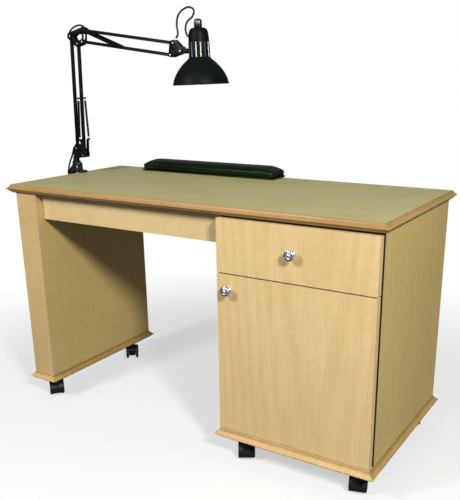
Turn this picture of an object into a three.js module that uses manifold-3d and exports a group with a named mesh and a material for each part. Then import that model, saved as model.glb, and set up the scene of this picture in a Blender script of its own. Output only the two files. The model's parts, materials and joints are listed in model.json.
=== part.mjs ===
// Manicure table on casters, with a padded armrest and a clamp-on swing-arm lamp.
// Millimetres, +Z up. The table's length runs along X, its depth along Y, and the user sits at -Y.
// Every moving body is a named group whose own origin is its pivot.
import * as THREE from "three";
import { mergeVertices } from "three/addons/utils/BufferGeometryUtils.js";
import Module from "manifold-3d";

const wasm = await Module();
wasm.setup();

// ---------------------------------------------------------------- driving dimensions
const GAP = 0.3; // between pieces that touch
const TOP = { length: 1320, depth: 566, height: 762, thickness: 26 };
const NOSING = 13.5; // how far the edge moulding stands out from the top panel
const MOULDING = 23.5; // height of the edge moulding
const BOARD = 18; // carcass board
const FRONT_BOARD = 22; // drawer front and door
const UNDERSIDE = TOP.height - TOP.thickness - GAP;
const BASE = { top: 98.3, thickness: 28, step: 5.5, overhang: 14.6 };
const CARCASS_BOTTOM = BASE.top + GAP;
const LEG = { left: -632, right: -543, front: -266, back: 260 };
const CABINET = { left: 170, right: 642.5, front: -253.2, back: 260.5 };
const APRON = { front: -239, bottom: 651.7 };
const FACE = -279.2; // front face of the drawer and the door
const FACE_BACK = FACE + FRONT_BOARD;
const REVEAL = 3; // how far the fronts stop short of the right panel's outer face
const DOOR = { bottom: 100.5, top: 575.8 };
const DRAWER = { bottom: 579.8, top: 731 };
const KNOB_RADIUS = 15.5;
const CASTER = { wheel: 25, width: 50, web: 26, trail: 18, stem: 5, hood: 27.8, shell: 2 };
const CASTERS = {
  leg_front: { at: [-571, -232], facing: -41 },
  leg_back: { at: [-581, 194], facing: 131 },
  cabinet_front_left: { at: [248, -257], facing: -58 },
  cabinet_front_right: { at: [601, -252], facing: -74 },
  cabinet_back_left: { at: [242, 201], facing: -64 },
  cabinet_back_right: { at: [600, 201], facing: -68 },
};
const ARMREST = { left: -482, right: 80, front: 194, back: 294, corner: 16 };
const ARM_Y = 53; // the lamp's arm swings in this plane
const SWIVEL_X = -665;
const BAR = 10; // square section of the arm's bars
const PIN = 2.9;
const PIN_HOLE = 3.4;
const PLATE = { inner: 7, outer: 9.2 }; // half spacings of the bracket plates
const CORD = 6; // cord diameter

// Pivots of the arm, as [x, z] in its plane.
const YOKE_REAR = [-653, 849];
const YOKE_FRONT = [-622, 825];
const LOWER_BAR = [14, 378]; // from a yoke pivot to the elbow pivot
const ELBOW_TOP = [-573, 1243];
const ELBOW_LOW = [-585, 1208];
const UPPER_BAR = [376, -51.5]; // from an elbow pivot to the head pivot
const TILT_PIVOT = [-170, 1167];
const YOKE_SPRING_PIN = [-617, 880];
const plus = (p, v) => [p[0] + v[0], p[1] + v[1]];
const ELBOW_REAR = plus(YOKE_REAR, LOWER_BAR);
const ELBOW_FRONT = plus(YOKE_FRONT, LOWER_BAR);
const HEAD_TOP = plus(ELBOW_TOP, UPPER_BAR);
const HEAD_LOW = plus(ELBOW_LOW, UPPER_BAR);
const along = (p, v, distance) => plus(p, v.map((c) => (c * distance) / Math.hypot(...v)));
const LOWER_SPRING_PIN = along(YOKE_FRONT, LOWER_BAR, 198);
const UPPER_SPRING_PIN = along(ELBOW_LOW, UPPER_BAR, 174);
const SHADE = { rim: [-98.8, 1067], tilt: -1.8, height: 166 };

// ---------------------------------------------------------------- materials
const paint = (color, roughness, metalness = 0) =>
  new THREE.MeshStandardMaterial({ color, roughness, metalness });
const maple = () => paint(0xdcc48e, 0.5);
const mapleSide = () => paint(0xc3a76c, 0.5);
const moulding = () => paint(0xc8a05f, 0.45);
const topLaminate = () => paint(0xb2aa82, 0.55);
const blackPaint = () => paint(0x161b19, 0.3, 0.2);
const blackPlastic = () => paint(0x141614, 0.45);
const vinyl = () => paint(0x17191b, 0.4);
const chrome = () => paint(0xd0d2d4, 0.12, 1);
const switchPlastic = () => paint(0x6c6f76, 0.25, 0.6);
const steel = () => paint(0x8f9295, 0.35, 1);
const plywood = () => paint(0xcdb083, 0.6);
const glass = () => paint(0xf4f2e8, 0.2);

// ---------------------------------------------------------------- solids
function solid(geometry) {
  const bare = geometry.clone();
  bare.deleteAttribute("normal");
  bare.deleteAttribute("uv");
  const merged = mergeVertices(bare, 1e-4);
  return new wasm.Manifold(
    new wasm.Mesh({
      numProp: 3,
      vertProperties: new Float32Array(merged.attributes.position.array),
      triVerts: new Uint32Array(merged.index.array),
    }),
  );
}

function geometryOf(manifold) {
  const mesh = manifold.getMesh();
  const geometry = new THREE.BufferGeometry();
  geometry.setAttribute("position", new THREE.BufferAttribute(mesh.vertProperties, 3));
  geometry.setIndex(new THREE.BufferAttribute(mesh.triVerts, 1));
  geometry.computeVertexNormals();
  return geometry;
}

const join = (...pieces) => geometryOf(pieces.map(solid).reduce((all, piece) => all.add(piece)));
const cut = (body, ...tools) =>
  geometryOf(tools.map(solid).reduce((rest, tool) => rest.subtract(tool), solid(body)));

function block([x0, x1], [y0, y1], [z0, z1]) {
  const geometry = new THREE.BoxGeometry(x1 - x0, y1 - y0, z1 - z0);
  return geometry.translate((x0 + x1) / 2, (y0 + y1) / 2, (z0 + z1) / 2);
}

// A rod between two points.
function rod(from, to, radius, sides = 12) {
  const a = new THREE.Vector3(...from);
  const b = new THREE.Vector3(...to);
  const direction = b.clone().sub(a);
  const geometry = new THREE.CylinderGeometry(radius, radius, direction.length(), sides);
  const turn = new THREE.Quaternion().setFromUnitVectors(new THREE.Vector3(0, 1, 0), direction.normalize());
  return geometry.applyQuaternion(turn).translate(...a.add(b).multiplyScalar(0.5).toArray());
}

// A turned piece on a vertical axis: [radius, height] points from the bottom, up the outside.
function turned(points, segments = 24) {
  const profile = points.map(([r, h]) => new THREE.Vector2(r, h));
  return new THREE.LatheGeometry(profile, segments).rotateX(Math.PI / 2);
}

// A pin or washer along Y, centred on the arm's plane.
const crossRod = ([x, z], halfLength, radius, sides = 8) =>
  rod([x, ARM_Y - halfLength, z], [x, ARM_Y + halfLength, z], radius, sides);

// A flat plate in the XZ plane, from its outline's [x, z] corners, between two Y values.
function plateXZ(outline, y0, y1, window = null) {
  const shape = new THREE.Shape(outline.map(([x, z]) => new THREE.Vector2(x, z)));
  if (window) shape.holes.push(new THREE.Path(window.map(([x, z]) => new THREE.Vector2(x, z))));
  const geometry = new THREE.ExtrudeGeometry(shape, { depth: y1 - y0, bevelEnabled: false });
  return geometry.rotateX(Math.PI / 2).translate(0, y1, 0);
}

// The mirrored pair of bracket plates on both sides of the arm's plane.
function platePair(outline, window = null) {
  return [-1, 1].map((side) => {
    const [y0, y1] = [side * PLATE.inner, side * PLATE.outer].sort((a, b) => a - b);
    return plateXZ(outline, ARM_Y + y0, ARM_Y + y1, window);
  });
}

// A four-sided lathe has mitred corners, and moving them apart along X and Y makes a rectangle.
// The profile's points are [distance out from the rectangle's edge, height]; null stands for the axis.
function mitred(profile, [x0, x1], [y0, y1]) {
  const halves = [(x1 - x0) / 2, (y1 - y0) / 2];
  const half = Math.min(...halves);
  const radius = (out) => (out === null ? 0 : (half + out) * Math.SQRT2);
  const points = profile.map(([out, z]) => new THREE.Vector2(radius(out), z));
  const geometry = new THREE.LatheGeometry(points, 4).rotateY(Math.PI / 4).rotateX(Math.PI / 2);
  const position = geometry.attributes.position;
  for (let i = 0; i < position.count; i += 1) {
    const corner = [position.getX(i), position.getY(i)];
    const moved = corner.map((c, k) => (Math.abs(c) < 1e-3 ? 0 : c + Math.sign(c) * (halves[k] - half)));
    position.setXY(i, ...moved);
  }
  return geometry.translate((x0 + x1) / 2, (y0 + y1) / 2, 0);
}

// The nosed edge seen in section: a small step, an ogee down to a sharp nose, and an undercut.
const ogee = (scale, top, thickness) =>
  [
    [3, -thickness],
    [6, -thickness + 4],
    [9.5, -16.2],
    [13.5, -13.7],
    [13.5, -12.2],
    [10.8, -10.2],
    [7.6, -8],
    [5, -4.5],
    [3.6, -2.2],
    [1.8, -1.4],
    [1.8, 0],
  ].map(([out, z]) => [out * scale, top + z]);

// ---------------------------------------------------------------- scene graph
const table = new THREE.Group();
table.name = "root";

// A moving body: its group sits at its pivot, inside its parent's group.
function body(parent, name, pivot) {
  const group = new THREE.Group();
  group.name = name;
  group.userData.pivot = new THREE.Vector3(...pivot);
  const origin = parent.userData.pivot ?? new THREE.Vector3();
  group.position.copy(group.userData.pivot).sub(origin);
  parent.add(group);
  return group;
}

// Adds a piece drawn in the table's coordinates to a body.
function add(parent, name, geometry, material) {
  const origin = parent.userData.pivot ?? new THREE.Vector3();
  const mesh = new THREE.Mesh(geometry.translate(-origin.x, -origin.y, -origin.z), material);
  mesh.name = name;
  parent.add(mesh);
}

// ---------------------------------------------------------------- top
function makeTop() {
  const half = [TOP.length / 2 - NOSING, TOP.depth / 2 - NOSING];
  const bottom = TOP.height - TOP.thickness;
  const [x, y] = half.map((h) => [-h, h]);
  add(table, "top_panel", block(x, y, [bottom, TOP.height]), topLaminate());
  const edge = ogee(1, TOP.height, MOULDING);
  const low = TOP.height - MOULDING;
  const ring = [[GAP, low], ...edge, [GAP, TOP.height], [GAP, low]];
  add(table, "top_edge_moulding", mitred(ring, x, y), moulding());
}

// ---------------------------------------------------------------- base plates and casters
function basePlate(x, y, stems) {
  const { top, thickness, step, overhang } = BASE;
  const edge = ogee(overhang / NOSING, top - step, thickness - step);
  const bottom = top - thickness;
  const plate = mitred([[null, bottom], ...edge, [0.4, top - step], [0.4, top], [null, top]], x, y);
  const socket = ([cx, cy]) => rod([cx, cy, bottom - 5], [cx, cy, bottom + 18.5], CASTER.stem + 0.6);
  const sockets = stems.map(socket);
  return cut(plate, ...sockets);
}

// Points on a circle in the XZ plane, from one angle to another in degrees.
function arc([cx, cz], radius, from, to, steps) {
  return Array.from({ length: steps + 1 }, (_, i) => {
    const angle = THREE.MathUtils.degToRad(from + ((to - from) * i) / steps);
    return [cx + radius * Math.cos(angle), cz + radius * Math.sin(angle)];
  });
}

// A hooded twin-wheel caster. It is drawn with its stem on the Z axis and its closed side towards +X.
function casterHood() {
  const axle = [-CASTER.trail, CASTER.wheel];
  const half = CASTER.width / 2;
  const inner = CASTER.hood - CASTER.shell;
  const shellOutline = [...arc(axle, CASTER.hood, -32, 150, 9), ...arc(axle, inner, 150, -32, 9)];
  const webOutline = [...arc(axle, inner + 1, -32, 150, 6), ...arc(axle, 20, 190, 300, 4)];
  const hubTop = BASE.top - BASE.thickness - 1;
  const stem = rod([0, 0, hubTop - 1], [0, 0, hubTop + 17], CASTER.stem);
  const hub = join(rod([0, 0, 40], [0, 0, hubTop], 11), stem);
  const wheelSpace = rod([axle[0], -half - 1, axle[1]], [axle[0], half + 1, axle[1]], inner, 20);
  const web = plateXZ(webOutline, -CASTER.web / 2, CASTER.web / 2);
  const axleHole = rod([axle[0], -half, axle[1]], [axle[0], half, axle[1]], 3.6);
  return cut(join(plateXZ(shellOutline, -half, half), cut(hub, wheelSpace), web), axleHole);
}

function casterWheels() {
  const [inner, outer] = [CASTER.web / 2 + 1, CASTER.width / 2 - 1];
  const tread = CASTER.wheel;
  const side = [[3, inner], [tread, inner + 1], [tread, outer - 5], [14, outer]];
  const mirrored = side.map(([r, y]) => [r, -y]).reverse();
  const profile = [[0, -outer], ...mirrored, ...side, [0, outer]];
  const points = profile.map(([r, y]) => new THREE.Vector2(r, y));
  return new THREE.LatheGeometry(points, 20).translate(-CASTER.trail, 0, CASTER.wheel);
}

function makeCaster(name, { at: [x, y], facing }) {
  const turn = THREE.MathUtils.degToRad(facing);
  const trail = [-CASTER.trail * Math.cos(turn), -CASTER.trail * Math.sin(turn)];
  const place = (geometry) => geometry.rotateZ(turn).translate(x, y, 0);
  const fork = body(table, `${name}_caster`, [x, y, BASE.top - BASE.thickness]);
  add(fork, `${name}_caster_hood`, place(casterHood()), blackPlastic());
  const wheels = body(fork, `${name}_caster_wheels`, [x + trail[0], y + trail[1], CASTER.wheel]);
  add(wheels, `${name}_caster_twin_wheels`, place(casterWheels()), blackPlastic());
}

function stemsUnder(prefix) {
  const names = Object.keys(CASTERS).filter((name) => name.startsWith(prefix));
  return names.map((name) => CASTERS[name].at);
}

// ---------------------------------------------------------------- leg, aprons and cabinet carcass
function makeLeg() {
  const width = [LEG.left, LEG.right];
  const depth = [LEG.front, LEG.back];
  const rise = [CARCASS_BOTTOM, UNDERSIDE];
  const between = [LEG.front + BOARD + GAP, LEG.back - BOARD - GAP];
  add(table, "leg_front_panel", block(width, [LEG.front, LEG.front + BOARD], rise), maple());
  add(table, "leg_back_panel", block(width, [LEG.back - BOARD, LEG.back], rise), maple());
  add(table, "leg_outer_panel", block([LEG.left, LEG.left + BOARD], between, rise), mapleSide());
  add(table, "leg_inner_panel", block([LEG.right - BOARD, LEG.right], between, rise), mapleSide());
  add(table, "leg_base", basePlate(width, depth, stemsUnder("leg")), moulding());
  const span = [LEG.right + GAP, CABINET.left - GAP];
  const apronDepth = [APRON.front, APRON.front + BOARD];
  add(table, "front_apron", block(span, apronDepth, [APRON.bottom, UNDERSIDE]), maple());
}

function makeCabinet() {
  const { left, right, front, back } = CABINET;
  const rise = [CARCASS_BOTTOM, UNDERSIDE];
  add(table, "cabinet_left_panel", block([left, left + BOARD], [front, back], rise), mapleSide());
  add(table, "cabinet_right_panel", block([right - BOARD, right], [front, back], rise), mapleSide());
  const inside = [left + BOARD + GAP, right - BOARD - GAP];
  add(table, "cabinet_back_panel", block(inside, [back - 12, back], rise), maple());
  const plate = basePlate([left, right], [FACE, back], stemsUnder("cabinet"));
  add(table, "cabinet_base", plate, moulding());
}

// ---------------------------------------------------------------- knobs, drawer and door
function knob([x, z]) {
  const profile = [
    [0, 0],
    [8, 0],
    [8, 2],
    [5.5, 4],
    [5.5, 11],
    [10, 16.5],
    [KNOB_RADIUS, 20],
    [KNOB_RADIUS, 22.5],
    [13, 25],
    [9.5, 24.2],
    [5, 24.2],
    [3.5, 25.6],
    [0, 26],
  ].map(([r, h]) => new THREE.Vector2(r, h));
  return new THREE.LatheGeometry(profile, 16).rotateX(Math.PI).translate(x, FACE - GAP, z);
}

const FACE_X = [CABINET.left, CABINET.right - REVEAL];
const BOX_WALL = 12;
const BOX = { back: 190, bottom: 598, top: 705 };
const RUNNER = { width: 12.4, depth: 430, bottom: 640, top: 676 };
const BOX_X = [CABINET.left + BOARD + RUNNER.width + 0.9, CABINET.right - BOARD - RUNNER.width - 0.9];
const BOX_FRONT = FACE_BACK + GAP;

function makeDrawer() {
  const middle = [(FACE_X[0] + FACE_X[1]) / 2, FACE, (DRAWER.bottom + DRAWER.top) / 2];
  const drawer = body(table, "drawer", middle);
  add(drawer, "drawer_front", block(FACE_X, [FACE, FACE_BACK], [DRAWER.bottom, DRAWER.top]), maple());
  add(drawer, "drawer_knob", knob([405.7, 659]), chrome());
  const rise = [BOX.bottom, BOX.top];
  const sides = [BOX_X[0] + BOX_WALL, BOX_X[1] - BOX_WALL];
  add(drawer, "drawer_left_side", block([BOX_X[0], sides[0]], [BOX_FRONT, BOX.back], rise), plywood());
  add(drawer, "drawer_right_side", block([sides[1], BOX_X[1]], [BOX_FRONT, BOX.back], rise), plywood());
  const inside = [sides[0] + GAP, sides[1] - GAP];
  add(drawer, "drawer_back", block(inside, [BOX.back - BOX_WALL, BOX.back], rise), plywood());
  const floor = block(inside, [BOX_FRONT, BOX.back - BOX_WALL - GAP], [BOX.bottom, BOX.bottom + 6]);
  add(drawer, "drawer_bottom", floor, plywood());
  const runnerY = [CABINET.front, CABINET.front + RUNNER.depth];
  [CABINET.left + BOARD + GAP, CABINET.right - BOARD - GAP - RUNNER.width].forEach((x, i) => {
    const runner = block([x, x + RUNNER.width], runnerY, [RUNNER.bottom, RUNNER.top]);
    add(table, `drawer_${["left", "right"][i]}_runner`, runner, steel());
  });
}

// A concealed hinge's cup and flange, screwed to the door's inner face.
function hingeCup(z) {
  const x = CABINET.right - BOARD - 22;
  const face = FACE_BACK + GAP;
  const flange = block([x - 8, x + 14], [face, face + 2], [z - 26, z + 26]);
  const cup = rod([x, face + 0.5, z], [x, face + 11, z], 16, 16);
  return join(flange, cup);
}

function makeDoor() {
  const corner = [CABINET.right, (FACE_BACK + CABINET.front) / 2, (DOOR.bottom + DOOR.top) / 2];
  const door = body(table, "door", corner);
  add(door, "door_panel", block(FACE_X, [FACE, FACE_BACK], [DOOR.bottom, DOOR.top]), maple());
  add(door, "door_knob", knob([208.8, 533.5]), chrome());
  add(door, "door_upper_hinge_cup", hingeCup(DOOR.top - 95), steel());
  add(door, "door_lower_hinge_cup", hingeCup(DOOR.bottom + 95), steel());
}

// ---------------------------------------------------------------- armrest
// A rectangle with rounded corners at a height, inset from the pad's outline on every side.
function padRing(inset, height) {
  const { left, right, front, back, corner } = ARMREST;
  const r = Math.max(corner - inset, 1);
  const [w, d] = [(right - left) / 2 - inset - r, (back - front) / 2 - inset - r];
  const corners = [
    [w, d],
    [-w, d],
    [-w, -d],
    [w, -d],
  ];
  return corners.flatMap(([x, y], quarter) =>
    Array.from({ length: 5 }, (_, i) => {
      const angle = ((quarter + i / 4) * Math.PI) / 2;
      const across = (left + right) / 2 + x + r * Math.cos(angle);
      return [across, (front + back) / 2 + y + r * Math.sin(angle), TOP.height + GAP + height];
    }),
  );
}

// A pad with upright sides and a domed top.
function makeArmrest() {
  const section = [
    [4, 0],
    [0, 4],
    [0, 19],
    [1.5, 22.5],
    [7, 27],
    [16, 31.8],
    [27, 35.6],
    [38, 38],
    [47, 39],
  ];
  const rings = section.map(([inset, height]) => padRing(inset, height));
  const n = rings[0].length;
  const index = [];
  for (let k = 1; k < n - 1; k += 1) {
    const top = (rings.length - 1) * n;
    index.push(0, k + 1, k, top, top + k, top + k + 1);
  }
  for (let i = 0; i < rings.length - 1; i += 1) {
    for (let k = 0; k < n; k += 1) {
      const [a, b] = [i * n + k, i * n + ((k + 1) % n)];
      index.push(a, b, b + n, a, b + n, a + n);
    }
  }
  const pad = new THREE.BufferGeometry();
  pad.setAttribute("position", new THREE.Float32BufferAttribute(rings.flat(2), 3));
  pad.setIndex(index);
  add(table, "armrest_pad", geometryOf(solid(pad)), vinyl());
}

// ---------------------------------------------------------------- lamp clamp
const FOOT = { left: -701, right: -627.5, top: 770, width: 30 };
const SOCKET = { top: 803, radius: 15, bore: 6.6, floor: 775 };
const JAW = { bottom: 690, top: 702, tip: -633.5 };
const SCREW = { x: -641, radius: 4.2, pad: 8 };
const SET_SCREW_Z = 785;

function makeClamp() {
  const seat = TOP.height + GAP;
  const spine = FOOT.left + 17;
  const hook = [
    [FOOT.left, JAW.bottom],
    [JAW.tip, JAW.bottom],
    [JAW.tip, JAW.top],
    [spine, JAW.top],
    [spine, seat],
    [FOOT.right, seat],
    [FOOT.right, FOOT.top],
    [FOOT.left, FOOT.top],
  ];
  const gusset = [
    [FOOT.left, FOOT.top - 2],
    [SWIVEL_X, FOOT.top - 2],
    [SWIVEL_X, SOCKET.top],
    [-681, SOCKET.top],
    [FOOT.left, FOOT.top + 6],
  ];
  const window = [
    [-692, FOOT.top + 4],
    [-682, FOOT.top + 4],
    [-682, FOOT.top + 18],
  ];
  const clamp = join(
    plateXZ(hook, ARM_Y - FOOT.width / 2, ARM_Y + FOOT.width / 2),
    plateXZ(gusset, ARM_Y - 6, ARM_Y + 6, window),
    rod([SWIVEL_X, ARM_Y, FOOT.top - 2], [SWIVEL_X, ARM_Y, SOCKET.top], SOCKET.radius, 16),
  );
  const bore = rod([SWIVEL_X, ARM_Y, SOCKET.floor], [SWIVEL_X, ARM_Y, SOCKET.top + 5], SOCKET.bore);
  const thread = rod([SCREW.x, ARM_Y, JAW.bottom - 5], [SCREW.x, ARM_Y, JAW.top + 5], SCREW.radius + 0.7);
  const sideThread = rod([SWIVEL_X, ARM_Y, SET_SCREW_Z], [SWIVEL_X + 20, ARM_Y, SET_SCREW_Z], 3.6);
  add(table, "lamp_clamp", cut(clamp, bore, thread, sideThread), blackPaint());

  const padTop = TOP.height - TOP.thickness - GAP;
  const screw = body(table, "clamp_screw", [SCREW.x, ARM_Y, padTop]);
  const spindle = turned(
    [
      [0, padTop - 108],
      [7.5, padTop - 108],
      [9, padTop - 105],
      [9, padTop - 95],
      [SCREW.radius, padTop - 92],
      [SCREW.radius, padTop - 8],
      [SCREW.pad, padTop - 5],
      [SCREW.pad, padTop],
      [0, padTop],
    ],
    16,
  ).translate(SCREW.x, ARM_Y, 0);
  add(screw, "clamp_screw", spindle, steel());

  const wing = body(table, "swivel_lock", [SWIVEL_X + SOCKET.radius, ARM_Y, SET_SCREW_Z]);
  const shank = rod([SWIVEL_X + 7, ARM_Y, SET_SCREW_Z], [SWIVEL_X + 18, ARM_Y, SET_SCREW_Z], 3);
  const height = [SET_SCREW_Z - 14, SET_SCREW_Z + 14];
  const grip = block([SWIVEL_X + 16, SWIVEL_X + 27], [ARM_Y - 3, ARM_Y + 3], height);
  add(wing, "swivel_lock_screw", join(shank, grip), blackPlastic());
}

// ---------------------------------------------------------------- lamp arm
// A bar with rounded ends and a pin hole at each of its two pivots.
function armBar(from, vector) {
  const length = Math.hypot(...vector);
  const r = BAR / 2 + 1;
  const shape = new THREE.Shape();
  shape.absarc(0, 0, r, Math.PI / 2 + 0.6, 1.5 * Math.PI - 0.6);
  shape.lineTo(6, -BAR / 2).lineTo(length - 6, -BAR / 2);
  shape.absarc(length, 0, r, -Math.PI / 2 + 0.6, Math.PI / 2 - 0.6);
  shape.lineTo(length - 6, BAR / 2).lineTo(6, BAR / 2);
  [0, length].forEach((u) => shape.holes.push(new THREE.Path().absarc(u, 0, PIN_HOLE, 0, 2 * Math.PI)));
  const bar = new THREE.ExtrudeGeometry(shape, { depth: BAR, bevelEnabled: false, curveSegments: 4 });
  bar.rotateX(Math.PI / 2).translate(0, BAR / 2, 0).rotateY(-Math.atan2(vector[1], vector[0]));
  return bar.translate(from[0], ARM_Y, from[1]);
}

const atPivot = ([x, z]) => [x, ARM_Y, z];

// A bracket's pivot pin, with a rivet head outside each plate.
function rivet(pivot) {
  const heads = [-1, 1].map((side) => rivetHead(pivot, side));
  return join(crossRod(pivot, PLATE.outer + 0.4, PIN), ...heads);
}

function rivetHead([x, z], side) {
  const from = ARM_Y + side * (PLATE.outer - 0.5);
  return rod([x, from, z], [x, from + side * 1.7, z], 4, 8);
}

function makeYoke() {
  const yoke = body(table, "arm_yoke", [SWIVEL_X, ARM_Y, SOCKET.top]);
  const outline = [
    [-668, 812],
    [-606, 819],
    [-603, 836],
    [-638, 860],
    [-657, 864],
    [-664, 850],
  ];
  const springArms = [-1, 1].flatMap((side) => {
    const [x, z] = YOKE_SPRING_PIN;
    const arm = plateXZ([[-621, 826], [-610, 826], [x + 4, z + 4], [x - 4, z + 4]], -1.5, 1.5);
    const lean = Math.atan2(8, z - 826);
    arm.translate(0, 0, -826).rotateX(-side * lean).translate(0, ARM_Y + side * 9.2, 826);
    return [arm, rod([x, ARM_Y + side * 15, z], [x, ARM_Y + side * 27, z], 2.5, 8)];
  });
  const neck = block([-672, -656], [ARM_Y - PLATE.outer, ARM_Y + PLATE.outer], [807, 818]);
  const spindle = rod([SWIVEL_X, ARM_Y, SOCKET.floor + 1], [SWIVEL_X, ARM_Y, 810], 6);
  const rivets = [YOKE_REAR, YOKE_FRONT].map(rivet);
  const frame = join(...platePair(outline), ...rivets, neck, spindle, ...springArms);
  add(yoke, "arm_yoke", frame, blackPaint());
  return yoke;
}

const elbowOutline = [
  [-651, 1222],
  [-650, 1234],
  [-643, 1239],
  [-577, 1255],
  [-564, 1249],
  [-563, 1238],
  [-574, 1231],
  [-576, 1203],
  [-588, 1197],
  [-612, 1192],
  [-621, 1198],
];
const elbowWindow = [
  [-622, 1225],
  [-612, 1212],
  [-597, 1212],
  [-584, 1217],
  [-581, 1233],
  [-611, 1232],
];
const headOutline = [
  [-209, 1199],
  [-191, 1202],
  [-160, 1175],
  [-159, 1161],
  [-203, 1146],
  [-217, 1151],
];

// A closed coil spring as a plain rod between its two hooks.
function spring([x0, z0], y0, [x1, z1], y1) {
  const a = new THREE.Vector3(x0, ARM_Y + y0, z0);
  const b = new THREE.Vector3(x1, ARM_Y + y1, z1);
  const hook = b.clone().sub(a).setLength(5);
  return rod(a.add(hook).toArray(), b.sub(hook).toArray(), 4.2, 8);
}

function makeArm() {
  const yoke = makeYoke();
  const rear = body(yoke, "lower_rear_bar", atPivot(YOKE_REAR));
  add(rear, "lower_rear_bar", armBar(YOKE_REAR, LOWER_BAR), blackPaint());
  const front = body(yoke, "lower_front_bar", atPivot(YOKE_FRONT));
  const frontBar = join(armBar(YOKE_FRONT, LOWER_BAR), crossRod(LOWER_SPRING_PIN, 20, 2.5));
  add(front, "lower_front_bar", frontBar, blackPaint());
  ["near", "far"].forEach((name, i) => {
    const side = i ? 1 : -1;
    const coil = spring(YOKE_SPRING_PIN, side * 23, LOWER_SPRING_PIN, side * 16);
    add(front, `lower_${name}_spring`, coil, blackPaint());
  });

  const elbow = body(front, "elbow_bracket", atPivot(ELBOW_FRONT));
  const elbowPlates = platePair(elbowOutline, elbowWindow);
  const elbowPins = [ELBOW_REAR, ELBOW_FRONT, ELBOW_LOW, ELBOW_TOP].map(rivet);
  const elbowFrame = join(...elbowPlates, ...elbowPins, crossRod(ELBOW_TOP, 20, 2.5));
  add(elbow, "elbow_bracket", elbowFrame, blackPaint());

  const low = body(elbow, "upper_low_bar", atPivot(ELBOW_LOW));
  const lowBar = join(armBar(ELBOW_LOW, UPPER_BAR), crossRod(UPPER_SPRING_PIN, 20, 2.5));
  add(low, "upper_low_bar", lowBar, blackPaint());
  ["near", "far"].forEach((name, i) => {
    const side = i ? 1 : -1;
    const coil = spring(ELBOW_TOP, side * 15.5, UPPER_SPRING_PIN, side * 15.5);
    add(low, `upper_${name}_spring`, coil, blackPaint());
  });
  const top = body(elbow, "upper_top_bar", atPivot(ELBOW_TOP));
  add(top, "upper_top_bar", armBar(ELBOW_TOP, UPPER_BAR), blackPaint());

  const head = body(top, "head_bracket", atPivot(HEAD_TOP));
  const headPins = [HEAD_TOP, HEAD_LOW, TILT_PIVOT].map(rivet);
  add(head, "head_bracket", join(...platePair(headOutline), ...headPins), blackPaint());
  return { elbow, head };
}

// ---------------------------------------------------------------- lamp head
const NECK_WALL_X = -134.3; // the neck's outer wall where the link goes in

function makeHead(parent) {
  const [px, pz] = TILT_PIVOT;
  const link = body(parent, "head_link", atPivot(TILT_PIVOT));
  const eye = arc(TILT_PIVOT, 8, 90, 270, 8);
  const tongueShape = [...eye, [px + 20, pz - 6], [px + 20, pz + 6], [px + 9, pz + 12]];
  const linkFrame = join(
    cut(plateXZ(tongueShape, ARM_Y - 5, ARM_Y + 5), crossRod(TILT_PIVOT, 8, PIN_HOLE)),
    rod([px + 17, ARM_Y, pz], [NECK_WALL_X - 0.8, ARM_Y, pz], 7),
    rod([px + 20, ARM_Y, pz], [NECK_WALL_X + 5, ARM_Y, pz], 4),
    rod([NECK_WALL_X + 4.5, ARM_Y, pz], [NECK_WALL_X + 7, ARM_Y, pz], 7),
  );
  add(link, "head_link", linkFrame, blackPaint());

  const shade = body(link, "lamp_head", [NECK_WALL_X, ARM_Y, pz]);
  const tilted = (geometry) =>
    geometry.rotateY(THREE.MathUtils.degToRad(SHADE.tilt)).translate(SHADE.rim[0], ARM_Y, SHADE.rim[1]);
  const outside = [
    [87.8, 0],
    [84.5, 14],
    [77.5, 30],
    [68.5, 44],
    [57, 58],
    [45, 69],
    [35.5, 76.5],
    [32.7, 81],
    [32.4, 112],
    [31, 142],
    [28.5, 156],
    [23, 164],
    [15, SHADE.height],
    [4.6, SHADE.height],
  ];
  const inside = [
    [4.6, 164],
    [14.5, 164],
    [21.8, 162.2],
    [26.6, 155],
    [29, 141.6],
    [30.4, 112],
    [30.7, 80],
    [34.5, 74.6],
    [43.8, 67.2],
    [55.5, 56.4],
    [66.8, 42.8],
    [75.6, 29.2],
    [82.5, 13.6],
    [85.8, 0],
    [87.8, 0],
  ];
  const linkHole = rod([NECK_WALL_X - 6, ARM_Y, pz], [NECK_WALL_X + 8, ARM_Y, pz], 4.8);
  add(shade, "lamp_shade", cut(tilted(turned([...outside, ...inside], 20)), linkHole), blackPaint());
  // The bulb's thin glass and its socket, open at the top.
  const bulb = [
    [0, 20],
    [12, 22.5],
    [22, 30],
    [28.5, 42],
    [29.5, 54],
    [25, 68],
    [17, 82],
    [14, 94],
    [14, 102],
    [18, 104],
    [18, 150],
    [16, 163.6],
    [14.5, 163.6],
    [14.5, 105],
    [12.4, 101],
    [12.4, 94],
    [15.5, 82],
    [23.4, 68],
    [27.9, 54],
    [26.9, 42],
    [20.6, 31.2],
    [11.2, 24.1],
    [0, 21.6],
  ];
  add(shade, "lamp_bulb", tilted(turned(bulb, 14)), glass());

  const switchProfile = [
    [0, 164.4],
    [3.8, 164.4],
    [3.8, SHADE.height + 0.6],
    [11.5, SHADE.height + 0.6],
    [12.3, 172],
    [12.2, 182],
    [10, 188.5],
    [5.5, 191.3],
    [0, 192],
  ];
  const base = new THREE.Vector3(0, 0, SHADE.height).applyAxisAngle(
    new THREE.Vector3(0, 1, 0),
    THREE.MathUtils.degToRad(SHADE.tilt),
  );
  const knobPivot = [SHADE.rim[0] + base.x, ARM_Y, SHADE.rim[1] + base.z];
  const switchKnob = body(shade, "switch_knob", knobPivot);
  add(switchKnob, "switch_knob", tilted(turned(switchProfile, 12)), switchPlastic());
}

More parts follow.
